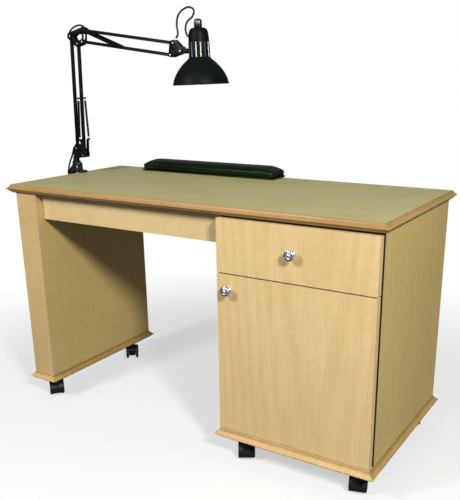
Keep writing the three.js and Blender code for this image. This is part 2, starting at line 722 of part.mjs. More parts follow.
// ---------------------------------------------------------------- cords
// A cord along a smooth route through its points, with a step every two or three diameters.
function cord(points) {
  const stations = points.map((p) => new THREE.Vector3(...p));
  const route = new THREE.CatmullRomCurve3(stations, false, "centripetal");
  const section = new THREE.Shape().absarc(0, 0, CORD / 2, 0, 2 * Math.PI);
  const steps = Math.ceil(route.getLength() / (2.6 * CORD));
  const sweep = { steps, extrudePath: route, curveSegments: 4, bevelEnabled: false };
  return new THREE.ExtrudeGeometry(section, sweep);
}

const COIL = { centre: [-741, 125], outer: 38, inner: 20, height: 18 };

function makeCords(elbow, head) {
  const headLoop = [
    [-190, ARM_Y, 1206],
    [-182, ARM_Y, 1216],
    [-185, ARM_Y, 1245],
    [-180, ARM_Y, 1268],
    [-165, ARM_Y, 1284],
    [-136, ARM_Y, 1293],
    [-118, ARM_Y, 1283],
    [-124, ARM_Y, 1266],
    [-146, ARM_Y, 1250],
    [-152, ARM_Y, 1230],
    [-147, ARM_Y, 1214],
    [-138.5, ARM_Y, 1206],
  ];
  add(head, "head_cord", cord(headLoop), blackPlastic());
  const elbowLoop = [
    [-648, ARM_Y, 1235],
    [-645, ARM_Y, 1242],
    [-634, ARM_Y, 1251],
    [-614, ARM_Y, 1259],
    [-596, ARM_Y, 1261],
    [-583, ARM_Y, 1258],
    [-576, ARM_Y, 1254],
  ];
  add(elbow, "elbow_cord", cord(elbowLoop), blackPlastic());
  const [cx, cy] = COIL.centre;
  const drop = [
    [-669, ARM_Y, 851],
    [-680, ARM_Y, 828],
    [-693, ARM_Y, 806],
    [-704, ARM_Y, 785],
    [-709, ARM_Y, 762],
    [-711, ARM_Y, 735],
    [-709, 58, 680],
    [-703, 72, 560],
    [-700, 98, 400],
    [-700, 132, 230],
    [-703, 165, 115],
    [-705, 182, 65],
    [-705, 186, 28.4],
    [-705, 182.7, 15.9],
    [-705, 173.5, 6.7],
    [-705, 161, 3.4],
    [-705, 149, 3.4],
  ];
  add(table, "power_cord", cord(drop), blackPlastic());
  const ring = [
    [COIL.inner, 0.2],
    [COIL.outer, 0.2],
    [COIL.outer, COIL.height],
    [COIL.inner, COIL.height],
    [COIL.inner, 0.2],
  ];
  add(table, "power_cord_coil", turned(ring, 20).translate(cx, cy, 0), blackPlastic());
  makePlug([cx - 29, cy + 29.6, 8.2]);
}

// A two-pin plug, with its strain relief towards the coil and its pins along +Y.
function makePlug([x, y, z]) {
  const relief = rod([x, y, z], [x, y + 16, z], 4.5);
  const grip = block([x - 12, x + 12], [y + 15, y + 45], [z - 8, z + 8]);
  const pin = (dx) => block([x + dx - 0.8, x + dx + 0.8], [y + 44, y + 62], [z - 3.2, z + 3.2]);
  const pins = [-6.3, 6.3].map(pin);
  add(table, "power_plug", join(relief, grip, ...pins), blackPlastic());
}

// ---------------------------------------------------------------- assembly
makeTop();
makeLeg();
makeCabinet();
makeDrawer();
makeDoor();
Object.entries(CASTERS).forEach(([name, caster]) => makeCaster(name, caster));
makeArmrest();
makeClamp();
const arm = makeArm();
makeHead(arm.head);
makeCords(arm.elbow, arm.head);

// The model's origin is the middle of its footprint on the floor, measured without the cords.
const footprint = new THREE.Box3();
table.updateMatrixWorld(true);
table.traverse((piece) => {
  if (piece.isMesh && !/cord|plug/.test(piece.name)) footprint.expandByObject(piece, true);
});
const middle = footprint.getCenter(new THREE.Vector3());
table.position.set(-middle.x, -middle.y, -footprint.min.z);

export default table;
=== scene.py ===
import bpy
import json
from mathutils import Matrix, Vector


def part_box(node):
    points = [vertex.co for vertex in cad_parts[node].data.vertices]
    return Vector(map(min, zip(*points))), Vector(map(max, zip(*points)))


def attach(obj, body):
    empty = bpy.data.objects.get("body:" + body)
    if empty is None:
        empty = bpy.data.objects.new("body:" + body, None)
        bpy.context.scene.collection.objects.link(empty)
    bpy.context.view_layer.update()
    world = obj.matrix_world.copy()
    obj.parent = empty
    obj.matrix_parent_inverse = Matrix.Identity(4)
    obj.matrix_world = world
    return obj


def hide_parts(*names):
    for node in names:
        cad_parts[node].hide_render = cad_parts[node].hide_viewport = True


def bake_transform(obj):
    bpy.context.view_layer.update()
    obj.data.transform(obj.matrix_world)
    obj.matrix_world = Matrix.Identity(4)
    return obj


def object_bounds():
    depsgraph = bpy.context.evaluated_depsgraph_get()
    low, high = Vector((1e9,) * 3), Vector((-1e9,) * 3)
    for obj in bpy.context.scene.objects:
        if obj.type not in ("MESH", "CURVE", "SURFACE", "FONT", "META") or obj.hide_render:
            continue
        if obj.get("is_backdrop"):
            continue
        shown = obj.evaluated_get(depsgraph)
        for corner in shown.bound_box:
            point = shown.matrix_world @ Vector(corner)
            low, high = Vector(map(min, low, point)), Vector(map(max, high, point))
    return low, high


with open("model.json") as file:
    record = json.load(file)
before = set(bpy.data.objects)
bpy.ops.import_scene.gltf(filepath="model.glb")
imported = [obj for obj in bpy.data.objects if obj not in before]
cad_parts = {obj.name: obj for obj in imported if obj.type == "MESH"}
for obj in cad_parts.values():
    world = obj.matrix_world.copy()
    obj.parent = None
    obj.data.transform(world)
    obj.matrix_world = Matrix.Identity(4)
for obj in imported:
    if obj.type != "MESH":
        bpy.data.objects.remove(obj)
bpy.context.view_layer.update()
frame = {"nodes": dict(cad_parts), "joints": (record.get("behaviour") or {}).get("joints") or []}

import json
import math

import bmesh
import bpy
from mathutils import Matrix, Vector
from mathutils.bvhtree import BVHTree

scene = bpy.context.scene
JOINTS = {joint["name"]: joint for joint in frame["joints"]}

# The table's own frame: millimetres from the middle of the top and the floor.
top_low, top_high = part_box("top_panel")
CENTRE = Vector(((top_low.x + top_high.x) / 2, (top_low.y + top_high.y) / 2, 0))


def at(x, y, z):
    return CENTRE + Vector((x, y, z)) / 1000


def local(point):
    """A point of the row frame, in the table's own millimetres."""
    return (Vector(point) - CENTRE) * 1000


def pivot(joint):
    return local(JOINTS[joint]["pos_m"])


# ---------------------------------------------------------------- camera
AZIMUTH, ELEVATION, ROLL = 0.56804, 0.32085, -0.01382
back = Vector(
    (
        math.sin(AZIMUTH) * math.cos(ELEVATION),
        -math.cos(AZIMUTH) * math.cos(ELEVATION),
        math.sin(ELEVATION),
    )
)
right = (-back).cross(Vector((0, 0, 1))).normalized()
up = right.cross(-back)
rolled_right = right * math.cos(ROLL) + up * math.sin(ROLL)
rolled_up = up * math.cos(ROLL) - right * math.sin(ROLL)
camera = bpy.data.objects.new("camera", bpy.data.cameras.new("camera"))
scene.collection.objects.link(camera)
camera.matrix_world = Matrix.Translation(at(1214.6, -1812.9, 1103.0)) @ Matrix(
    (rolled_right, rolled_up, back)
).transposed().to_4x4()
camera.data.lens = 50.12
camera.data.sensor_width = 36
camera.data.shift_x = -0.0144
camera.data.shift_y = 0.1067
scene.camera = camera


def srgb(*channels):
    """Linear colour from 0-255 display values."""
    linear = [((c / 255 + 0.055) / 1.055) ** 2.4 if c > 10 else c / 255 / 12.92 for c in channels]
    return (*linear, 1)


class Shader:
    """A material's node tree: each call adds a node, and a socket given as a value is linked."""

    def __init__(self, name, slot):
        self.material = bpy.data.materials.new(name)
        self.material.use_nodes = True
        self.tree = self.material.node_tree
        self.surface = self.tree.nodes["Principled BSDF"]
        self.object_coords = self.tree.nodes.new("ShaderNodeTexCoord").outputs["Object"]

    def feed(self, made, inputs):
        for key, value in inputs.items():
            if isinstance(value, bpy.types.NodeSocket):
                self.tree.links.new(value, made.inputs[key])
            else:
                made.inputs[key].default_value = value

    def add(self, kind, output, inputs, **settings):
        made = self.tree.nodes.new("ShaderNode" + kind)
        for key, value in settings.items():
            setattr(made, key, value)
        self.feed(made, inputs)
        return made.outputs[output]

    def scaled(self, scale, source=None, location=(0, 0, 0), rotation=(0, 0, 0)):
        inputs = {
            "Vector": source or self.object_coords,
            "Scale": scale,
            "Location": location,
            "Rotation": rotation,
        }
        return self.add("Mapping", "Vector", inputs)

    def noise(self, vector, scale=1.0, detail=2.0, distortion=0.0):
        inputs = {"Vector": vector, "Scale": scale, "Detail": detail, "Distortion": distortion}
        return self.add("TexNoise", "Fac", inputs)

    def ramp(self, value, low, high, to_low=0.0, to_high=1.0):
        inputs = {"Value": value, 1: low, 2: high, 3: to_low, 4: to_high}
        return self.add("MapRange", "Result", inputs, interpolation_type="SMOOTHSTEP")

    def math(self, operation, a, b):
        return self.add("Math", "Value", {0: a, 1: b}, operation=operation)

    def mix(self, factor, a, b):
        inputs = {0: factor, 6: a, 7: b}
        made = self.tree.nodes.new("ShaderNodeMix")
        made.data_type = "RGBA"
        self.feed(made, inputs)
        return made.outputs[2]

    def bump(self, height, strength, distance):
        inputs = {"Height": height, "Strength": strength, "Distance": distance}
        self.feed(self.surface, {"Normal": self.add("Bump", "Normal", inputs)})

    def set(self, **inputs):
        names = {key: key.replace("_", " ") for key in inputs}
        self.feed(self.surface, {names[key]: value for key, value in inputs.items()})
        return self.material


def along(axis, across, lengthwise):
    """A mapping scale that is small along the grain's axis."""
    return tuple(lengthwise if a == axis else across for a in "XYZ")


def wood(name, slot, axis, light, dark, centre=(0, 0, 0), figure=0.17, gloss=0.45, painted_shade_below=None):
    """Fine-grained maple: growth rings round a centre, silky fibres, short flecks and a slow mottle.

    Below the given axis and place on it, the wood is painted dark brown: painted shade in the shadowed gap
    along that edge.
    """
    s = Shader(name, slot)
    sway = s.noise(s.scaled(along(axis, 5, 0.9)), detail=3)
    offset = s.mix(sway, (-0.03, -0.03, -0.03, 1), (0.03, 0.03, 0.03, 1))
    swayed = s.add("VectorMath", "Vector", {0: s.object_coords, 1: offset}, operation="ADD")
    ringed = s.scaled(along(axis, 1, 0.06), swayed, location=[-c for c in centre])
    rings = s.add(
        "TexWave", "Fac",
        {"Vector": ringed, "Scale": 13.0, "Distortion": 2.4, "Detail": 3.0, "Detail Scale": 3.0},
        wave_type="RINGS", rings_direction="SPHERICAL", wave_profile="SIN",
    )
    strength = s.ramp(s.noise(s.scaled(along(axis, 3, 1.2)), detail=1), 0.35, 0.65, 0.2, 1.0)
    fibres = s.noise(s.scaled(along(axis, 620, 12)), detail=3)
    streaks = s.noise(s.scaled(along(axis, 130, 3)), detail=3)
    flecks = s.ramp(s.noise(s.scaled(along(axis, 520, 60)), detail=1), 0.6, 0.72)
    mottle = s.noise(s.object_coords, scale=6, detail=3)
    ripple = s.noise(s.scaled(along(axis, 26, 95)), detail=2)
    grain = s.math("MULTIPLY", s.math("MULTIPLY", s.ramp(rings, 0.2, 0.9), strength), figure)
    for layer, low, high, share in (
        (fibres, 0.3, 0.7, 0.3),
        (streaks, 0.3, 0.7, 0.09),
        (flecks, 0.0, 1.0, 0.14),
        (mottle, 0.3, 0.7, 0.16),
        (ripple, 0.3, 0.7, 0.16),
    ):
        grain = s.math("ADD", grain, s.ramp(layer, low, high, 0.0, share))
    colour = s.mix(grain, light, dark)
    # painted shade: a dark brown strip where a shadowed gap runs along the board's edge
    if painted_shade_below:
        place = s.add("SeparateXYZ", painted_shade_below[0], {0: s.object_coords})
        colour = s.mix(s.math("LESS_THAN", place, painted_shade_below[1]), colour, srgb(40, 31, 19))
    s.bump(fibres, 0.12, 0.0002)
    return s.set(Base_Color=colour, Roughness=s.ramp(fibres, 0.3, 0.7, gloss - 0.04, gloss + 0.05))


def plies(name, axis):
    """Birch plywood: plies across the board's thickness, and silky faces."""
    s = Shader(name, "plywood")
    layer = s.add(
        "TexWave", "Fac", {"Vector": s.scaled((1, 1, 1)), "Scale": 95.0, "Distortion": 0.3},
        bands_direction=axis, wave_profile="SIN",
    )
    fibres = s.noise(s.scaled(along("Y", 420, 16)), detail=3)
    shade = s.math("ADD", s.ramp(layer, 0.35, 0.65, 0, 0.55), s.math("MULTIPLY", fibres, 0.35))
    s.bump(fibres, 0.15, 0.0002)
    return s.set(Base_Color=s.mix(shade, srgb(219, 188, 142), srgb(168, 128, 84)), Roughness=0.62)


def enamel(name, slot, colour, roughness=0.34, coat=0.1, peel=0.05, specular=0.25):
    """Sprayed gloss enamel: faint orange peel, and dust that greys its colour a little."""
    s = Shader(name, slot)
    peeled = s.noise(s.object_coords, scale=900, detail=2)
    dust = s.ramp(s.noise(s.object_coords, scale=55, detail=4), 0.45, 0.8)
    pale = tuple(min(1, c * 1.6 + 0.003) for c in colour[:3]) + (1,)
    s.bump(peeled, peel, 0.0003)
    return s.set(
        Base_Color=s.mix(s.math("MULTIPLY", dust, 0.35), colour, pale),
        Roughness=s.ramp(dust, 0, 1, roughness, roughness + 0.12),
        Coat_Weight=coat, Coat_Roughness=0.14, Specular_IOR_Level=specular,
    )


def metal(name, slot, colour, roughness, grain=(300, 300, 300), streak=0.1):
    """Plated or polished metal, with fine streaks and soft smudges in its polish."""
    s = Shader(name, slot)
    streaks = s.noise(s.scaled(grain), detail=2)
    smudge = s.ramp(s.noise(s.object_coords, scale=90, detail=3), 0.4, 0.75)
    dull = tuple(c * 0.8 for c in colour[:3]) + (1,)
    s.bump(streaks, streak, 0.0001)
    return s.set(
        Base_Color=s.mix(s.math("MULTIPLY", smudge, 0.5), colour, dull),
        Metallic=1.0,
        Roughness=s.ramp(smudge, 0, 1, roughness, roughness + 0.09),
    )


def plastic(name, slot, colour, roughness=0.5, texture=1400, depth=0.12, dusty=0.0):
    """Moulded plastic with a fine spark texture, and dust where it is walked and rolled on."""
    s = Shader(name, slot)
    sparks = s.noise(s.object_coords, scale=texture, detail=1)
    wear = s.ramp(s.noise(s.object_coords, scale=130, detail=4), 0.45, 0.75)
    height = s.add("SeparateXYZ", "Z", {0: s.object_coords})
    low = s.math("MULTIPLY", s.ramp(height, 0.0, 0.03, 1.0, 0.0), dusty)
    pale = s.math("ADD", s.math("MULTIPLY", wear, 0.06), s.math("MULTIPLY", low, wear))
    s.bump(sparks, depth, 0.0002)
    return s.set(
        Base_Color=s.mix(pale, colour, srgb(118, 116, 104)),
        Roughness=s.ramp(wear, 0, 1, roughness, roughness + 0.1),
        Specular_IOR_Level=0.35,
    )


def vinyl_material():
    """Black upholstery vinyl: pebbled grain, fine creases, and a polish where arms rest."""
    s = Shader("armrest_vinyl", "vinyl")
    cells = s.add(
        "TexVoronoi", "Distance",
        {"Vector": s.object_coords, "Scale": 620.0, "Randomness": 1.0}, feature="SMOOTH_F1",
    )
    creases = s.ramp(s.noise(s.scaled((28, 140, 140)), detail=3, distortion=0.6), 0.47, 0.53)
    worn = s.noise(s.object_coords, scale=16, detail=3)
    height = s.math("ADD", s.math("MULTIPLY", cells, 1.0), s.math("MULTIPLY", creases, 0.25))
    s.bump(height, 0.35, 0.0004)
    return s.set(
        Base_Color=s.mix(worn, srgb(6, 12, 5), srgb(10, 19, 7)),
        Roughness=s.ramp(worn, 0.3, 0.7, 0.26, 0.36),
        Specular_IOR_Level=0.35, Specular_Tint=(0.5, 0.8, 0.42, 1),
    )


maple = wood(
    "maple_front", "maple_front", "Z", srgb(224, 197, 144), srgb(200, 166, 110), (0.51, -0.245, 0.22)
)
maple_leg = wood(
    "maple_leg", "maple_front", "Z", srgb(208, 180, 127), srgb(190, 157, 104), (-0.6, -0.33, 0.6)
)
maple_apron = wood(
    "maple_apron", "maple_front", "Z", srgb(220, 194, 143), srgb(199, 168, 114), (-0.1, -0.2, 0.9)
)
maple_side = wood(
    "maple_side", "maple_side", "Z", srgb(208, 184, 120), srgb(182, 156, 90), (0.62, 0.5, 0.9), 0.1,
    # painted shade: the front edge strip is painted dark for the shadowed gap beside the door and drawer
    painted_shade_below=("Y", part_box("cabinet_right_panel")[0].y + 0.0012),
)
laminate = wood(
    "top_laminate", "top_laminate", "X", srgb(196, 187, 134), srgb(172, 162, 102), (0.1, 0.0, 0.4), 0.1,
    # painted shade: the top panel's edges below its face are painted dark for the shadowed gap under the
    # moulding
    0.42, painted_shade_below=("Z", top_high.z - 0.001),
)
rail_x, rail_y, plinth_x = [
    wood(name, "edge_moulding", axis, light, dark, (0, 0, 0.5), figure)
    for name, axis, light, dark, figure in (
        ("moulding_lengthwise", "X", srgb(184, 148, 92), srgb(146, 110, 60), 0.3),
        ("moulding_crosswise", "Y", srgb(190, 158, 98), srgb(152, 120, 64), 0.3),
        ("plinth_lengthwise", "X", srgb(216, 182, 126), srgb(184, 148, 94), 0.25),
    )
]
ply_x, ply_y, ply_z = plies("plywood_sides", "X"), plies("plywood_back", "Y"), plies("plywood_bottom", "Z")
black = enamel("black_enamel", "black_enamel", srgb(8, 11, 12))
black_tube = enamel("black_tube", "black_tube", srgb(8, 10, 11), 0.4, 0.05)
shade_paint = enamel("shade_enamel", "black_tube", srgb(8, 13, 12), 0.5, 0.0, 0.03, 0.12)
vent_shadow = enamel("vent_shadow", "black_tube", srgb(84, 94, 104), 0.4, 0.1)
cast_paint = enamel("clamp_enamel", "black_enamel", srgb(20, 26, 30), 0.26, 0.5, 0.25)
shade_lining = enamel("shade_lining", "black_tube", srgb(226, 226, 220), 0.4, 0.1)
chrome = metal("knob_chrome", "chrome", srgb(232, 232, 240), 0.36)
# painted shade and painted reflection: darker chrome for the knobs' grooves and outer rim
painted_dark_chrome = metal("knob_painted_shade", "chrome", srgb(62, 58, 66), 0.4)
switch_plating = metal("switch_plating", "switch_plastic", srgb(96, 100, 108), 0.24, (900, 900, 40))
zinc = metal("zinc_plate", "zinc_steel", srgb(172, 174, 176), 0.32, (60, 400, 400), 0.2)
rivet_metal = metal("rivet_nickel", "black_enamel", srgb(236, 238, 238), 0.3)
spring_steel = metal("spring_steel", "black_enamel", srgb(30, 33, 33), 0.5)
nylon = plastic("caster_nylon", "caster_plastic", srgb(13, 17, 12), 0.45)
tread = plastic("wheel_tread", "caster_plastic", srgb(19, 22, 16), 0.55, 900, 0.2, 0.4)
grip_plastic = plastic("grip_plastic", "caster_plastic", srgb(14, 16, 16), 0.4)
cord_pvc = plastic("cord_pvc", "cord_plastic", srgb(10, 12, 12), 0.45, 700, 0.1)
plug_pvc = plastic("plug_pvc", "cord_plastic", srgb(16, 18, 18), 0.5, 1100, 0.25)
pin_metal = metal("pin_nickel", "cord_plastic", srgb(206, 198, 176), 0.25)
socket_white = plastic("lamp_socket", "bulb_glass", srgb(232, 230, 222), 0.4)
vinyl = vinyl_material()


def glass_material():
    s = Shader("bulb_glass", "bulb_glass")
    frost = s.noise(s.object_coords, scale=420, detail=2)
    s.bump(frost, 0.05, 0.0002)
    return s.set(
        Base_Color=s.mix(frost, srgb(248, 246, 240), srgb(232, 230, 224)),
        Roughness=0.22, Subsurface_Weight=0.3, Subsurface_Radius=(0.01, 0.01, 0.01),
    )


frosted = glass_material()


# ---------------------------------------------------------------- mesh tools
def join_vertices(mesh):
    """Joins vertices that share a place, and turns the faces outwards."""
    cleaned = bmesh.new()
    cleaned.from_mesh(mesh)
    bmesh.ops.remove_doubles(cleaned, verts=cleaned.verts, dist=1e-6)
    bmesh.ops.recalc_face_normals(cleaned, faces=cleaned.faces)
    cleaned.to_mesh(mesh)
    cleaned.free()


def tube_faces(rows, n, closed=False):
    """Faces between rows of n vertices each; unless the rows close on themselves, both ends are capped."""
    faces = []
    for i in range(rows if closed else rows - 1):
        a, b = i * n, (i + 1) % rows * n
        faces += [(a + j, a + (j + 1) % n, b + (j + 1) % n, b + j) for j in range(n)]
    if not closed:
        faces += [tuple(range(n)), tuple(range((rows - 1) * n, rows * n))]
    return faces


def mesh_of(vertices, faces):
    """A mesh in metres from millimetre vertices, with its faces turned outwards."""
    mesh = bpy.data.meshes.new("shape")
    mesh.from_pydata([Vector(v) / 1000 for v in vertices], [], faces)
    join_vertices(mesh)
    return mesh


def placed(mesh, matrix):
    mesh.transform(matrix)
    if matrix.determinant() < 0:
        mesh.flip_normals()
    return mesh


def show(name, mesh, material, body, replaces=(), sharp=35):
    """Adds a finished piece: smooth, with creases kept, riding on its body."""
    mesh.polygons.foreach_set("use_smooth", [True] * len(mesh.polygons))
    mesh.set_sharp_from_angle(angle=math.radians(sharp))
    materials = material if isinstance(material, (list, tuple)) else [material]
    if not mesh.materials:
        for each in materials:
            mesh.materials.append(each)
    made = bpy.data.objects.new(name, mesh)
    scene.collection.objects.link(made)
    if body:
        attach(made, body)
    if replaces:
        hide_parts(*replaces)
    return made


def merged(*meshes):
    """One mesh from several, each keeping its own faces' materials."""
    together = bmesh.new()
    for mesh in meshes:
        together.from_mesh(mesh)
    mesh = bpy.data.meshes.new("shape")
    together.to_mesh(mesh)
    together.free()
    return mesh


def lathe(profile, segments=48, ripple=None):
    """A turned shape round Z from [radius, height] points. ripple(angle, radius, height) changes a radius."""
    vertices, rings, faces = [], [], []
    for radius, height in profile:
        if radius < 1e-6:
            rings.append([len(vertices)] * segments)
            vertices.append((0, 0, height))
            continue
        rings.append(range(len(vertices), len(vertices) + segments))
        for i in range(segments):
            angle = 2 * math.pi * i / segments
            r = ripple(angle, radius, height) if ripple else radius
            vertices.append((r * math.cos(angle), r * math.sin(angle), height))
    for a, b in zip(rings, rings[1:]):
        for i in range(segments):
            j = (i + 1) % segments
            face = list(dict.fromkeys((a[i], a[j], b[j], b[i])))
            if len(face) > 2:
                faces.append(face)
    return mesh_of(vertices, faces)


def spun(points, steps=4):
    """Catmull-Rom points through [radius, height] points, for a smooth turned outline."""
    p = [Vector(q) for q in points]
    p = [2 * p[0] - p[1], *p, 2 * p[-1] - p[-2]]
    made = []
    for a, b, c, d in zip(p, p[1:], p[2:], p[3:]):
        for i in range(steps):
            t = i / steps
            made.append(
                0.5 * ((2 * b) + (c - a) * t + (2 * a - 5 * b + 4 * c - d) * t * t
                       + (3 * b - a - 3 * c + d) * t ** 3)
            )
    return [tuple(q) for q in made] + [tuple(points[-1])]


def route(points, step=8.0):
    """Points about step millimetres apart on a centripetal Catmull-Rom curve through the given points."""
    p = [Vector(q) for q in points]
    p = [2 * p[0] - p[1], *p, 2 * p[-1] - p[-2]]
    made = []
    for p0, p1, p2, p3 in zip(p, p[1:], p[2:], p[3:]):
        d1, d2, d3 = [max((b - a).length, 1e-4) ** 0.5 for a, b in ((p0, p1), (p1, p2), (p2, p3))]
        m1 = ((p1 - p0) / d1 - (p2 - p0) / (d1 + d2) + (p2 - p1) / d2) * d2
        m2 = ((p2 - p1) / d2 - (p3 - p1) / (d2 + d3) + (p3 - p2) / d3) * d2
        count = max(1, round((p2 - p1).length / step))
        for i in range(count):
            t = i / count
            made.append(
                p1 * (2 * t ** 3 - 3 * t * t + 1) + m1 * (t ** 3 - 2 * t * t + t)
                + p2 * (3 * t * t - 2 * t ** 3) + m2 * (t ** 3 - t * t)
            )
    return [*made, Vector(points[-1])]


def sweep(path, section, closed=False, scale=None):
    """A section, [across, up] points, carried along a path without twisting; open ends are capped."""
    path = [Vector(p) for p in path]
    count = len(path)
    tangents = []
    for i in range(count):
        before = path[i - 1] if closed or i else path[0]
        after = path[(i + 1) % count] if closed or i < count - 1 else path[-1]
        tangents.append((after - before).normalized())
    side = tangents[0].orthogonal().normalized()
    vertices = []
    for i, (point, tangent) in enumerate(zip(path, tangents)):
        side = (side - tangent * side.dot(tangent)).normalized()
        other = tangent.cross(side)
        k = scale(i / (count - 1)) if scale else 1
        vertices += [point + side * (u * k) + other * (v * k) for u, v in section]
    return mesh_of(vertices, tube_faces(count, len(section), closed))


def circle(radius, sides=12):
    angles = [2 * math.pi * i / sides for i in range(sides)]
    return [(radius * math.cos(a), radius * math.sin(a)) for a in angles]


def rounded(outline, radius, steps=5):
    """A polygon's outline with each corner rounded to the radius, as far as its sides allow."""
    made = []
    for i, corner in enumerate(outline):
        p = Vector(corner[:2])
        a, b = Vector(outline[i - 1][:2]) - p, Vector(outline[(i + 1) % len(outline)][:2]) - p
        half = a.angle(b) / 2
        reach = min(radius / math.tan(half), a.length * 0.45, b.length * 0.45)
        start, end = p + a.normalized() * reach, p + b.normalized() * reach
        for k in range(steps + 1):
            t = k / steps
            made.append(tuple(start * (1 - t) ** 2 + p * 2 * t * (1 - t) + end * t * t))
    return made


def plate(outline, y0, y1, windows=(), bevel=0.5):
    """A plate in the XZ plane between two Y values, with softened edges, from outlines of [x, z] points."""
    curve = bpy.data.curves.new("outline", "CURVE")
    curve.dimensions, curve.fill_mode = "2D", "BOTH"
    curve.extrude = (y1 - y0) / 2000 - bevel / 1000
    curve.bevel_depth, curve.bevel_resolution, curve.offset = bevel / 1000, 2, -bevel / 1000
    for ring in (outline, *windows):
        spline = curve.splines.new("POLY")
        spline.points.add(len(ring) - 1)
        for point, (x, z) in zip(spline.points, ring):
            point.co = (x / 1000, z / 1000, 0, 1)
        spline.use_cyclic_u = True
    drawn = bpy.data.objects.new("outline", curve)
    scene.collection.objects.link(drawn)
    bpy.context.view_layer.update()
    mesh = bpy.data.meshes.new_from_object(drawn.evaluated_get(bpy.context.evaluated_depsgraph_get()))
    bpy.data.objects.remove(drawn)
    bpy.data.curves.remove(curve)
    mesh.materials.clear()
    join_vertices(mesh)
    turn = Matrix.Rotation(math.pi / 2, 4, "X")
    return placed(mesh, Matrix.Translation((0, (y0 + y1) / 2000, 0)) @ turn)


def box_mesh(low, high, bevel=0.8):
    """A board or block with softened edges."""
    made = bmesh.new()
    bmesh.ops.create_cube(made, size=1)
    size = [b - a for a, b in zip(low, high)]
    middle = [(a + b) / 2 for a, b in zip(low, high)]
    for vertex in made.verts:
        vertex.co = Vector([(c * s + m) / 1000 for c, s, m in zip(vertex.co, size, middle)])
    bmesh.ops.bevel(made, geom=made.edges[:], offset=bevel / 1000, segments=3, profile=0.5, affect="EDGES")
    mesh = bpy.data.meshes.new("shape")
    made.to_mesh(mesh)
    made.free()
    return mesh


def aim(origin, direction, roll=0.0):
    """Places a shape drawn round Z at an origin in the table's millimetres, pointing along a direction."""
    turn = Vector(direction).to_track_quat("Z", "Y").to_matrix().to_4x4()
    return Matrix.Translation(at(*origin)) @ turn @ Matrix.Rotation(roll, 4, "Z")


TABLE = Matrix.Translation(CENTRE)
UPRIGHT_TO_Y = Matrix.Rotation(-math.pi / 2, 4, "X")  # lays a shape drawn round Z along Y

# ---------------------------------------------------------------- cords
ARM_Y = 53
CORD = 6.0
SECTION = circle(CORD / 2, 12)
COIL_X, COIL_Y, COIL_PITCH = -741, 125, 6.1


def cord_mesh(path):
    return placed(sweep(path, SECTION), TABLE)


def coil_point(turned):
    """A point of the coil after a clockwise turn in degrees: two turns side by side, then two on top."""
    def eased(low, high):
        t = min(1, max(0, (turned - low) / (high - low)))
        return t * t * (3 - 2 * t)

    radius = 35 - COIL_PITCH * eased(310, 350) + COIL_PITCH * eased(960, 1000)
    height = 3.3 + COIL_PITCH * eased(630, 670)
    angle = -math.radians(turned)
    return Vector((COIL_X + radius * math.cos(angle), COIL_Y + radius * math.sin(angle), height))


power_drop = route(
    [
        (-669, ARM_Y, 851), (-680, ARM_Y, 828), (-693, ARM_Y, 806), (-704, ARM_Y, 785),
        (-709, ARM_Y, 762), (-711, ARM_Y, 735), (-709, 58, 680), (-703, 72, 560),
        (-700, 98, 400), (-700, 132, 230), (-703, 165, 115), (-705, 182, 65),
        (-705, 186, 28.4), (-705, 182.7, 15.9), (-705, 173.5, 6.7), (-705, 161, 3.4), (-705, 149, 3.4),
    ],
    12,
)
coil = [coil_point(turned) for turned in range(0, 1261, 10)]
tail = [(-776, 132, 9.4), (-774.5, 141, 9.4), (-771.8, 149, 8.8), (-770.2, 155, 8.2)]
power_path = [*power_drop, Vector((-704.6, 137, 3.4)), *coil, *[Vector(p) for p in tail]]
power_cord = show(
    "power_cord_whole", cord_mesh(power_path), cord_pvc, None, ("power_cord", "power_cord_coil")
)
relief_path = power_drop[:4]
relief = show(
    "power_cord_relief",
    placed(sweep(route(relief_path, 3), circle(3.2, 16), scale=lambda t: 1.55 - 0.5 * t), TABLE),
    cord_pvc, None,
)
for strand in (power_cord, relief):
    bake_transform(strand)

head_loop = route(
    [
        (-190, ARM_Y, 1206), (-182, ARM_Y, 1216), (-185, ARM_Y, 1245), (-180, ARM_Y, 1268),
        (-165, ARM_Y, 1284), (-136, ARM_Y, 1293), (-118, ARM_Y, 1283), (-124, ARM_Y, 1266),
        (-146, ARM_Y, 1250), (-152, ARM_Y, 1230), (-147, ARM_Y, 1214), (-138.5, ARM_Y, 1206),
    ],
    5,
)
crest = max(range(len(head_loop)), key=lambda i: head_loop[i].z)
rising, falling = head_loop[: crest + 1], head_loop[crest:]
head_rise = show("head_cord_rise", cord_mesh(rising), cord_pvc, None, ("head_cord",))
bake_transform(head_rise)
head_fall = show("head_cord_fall", cord_mesh(falling), cord_pvc, None)
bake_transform(head_fall)

elbow_loop = route(
    [
        (-648, ARM_Y, 1235), (-645, ARM_Y, 1242), (-634, ARM_Y, 1251), (-614, ARM_Y, 1259),
        (-596, ARM_Y, 1261), (-583, ARM_Y, 1258), (-576, ARM_Y, 1254),
    ],
    5,
)
elbow_cord = show("elbow_cord_loop", cord_mesh(elbow_loop), cord_pvc, "elbow_bracket", ("elbow_cord",))


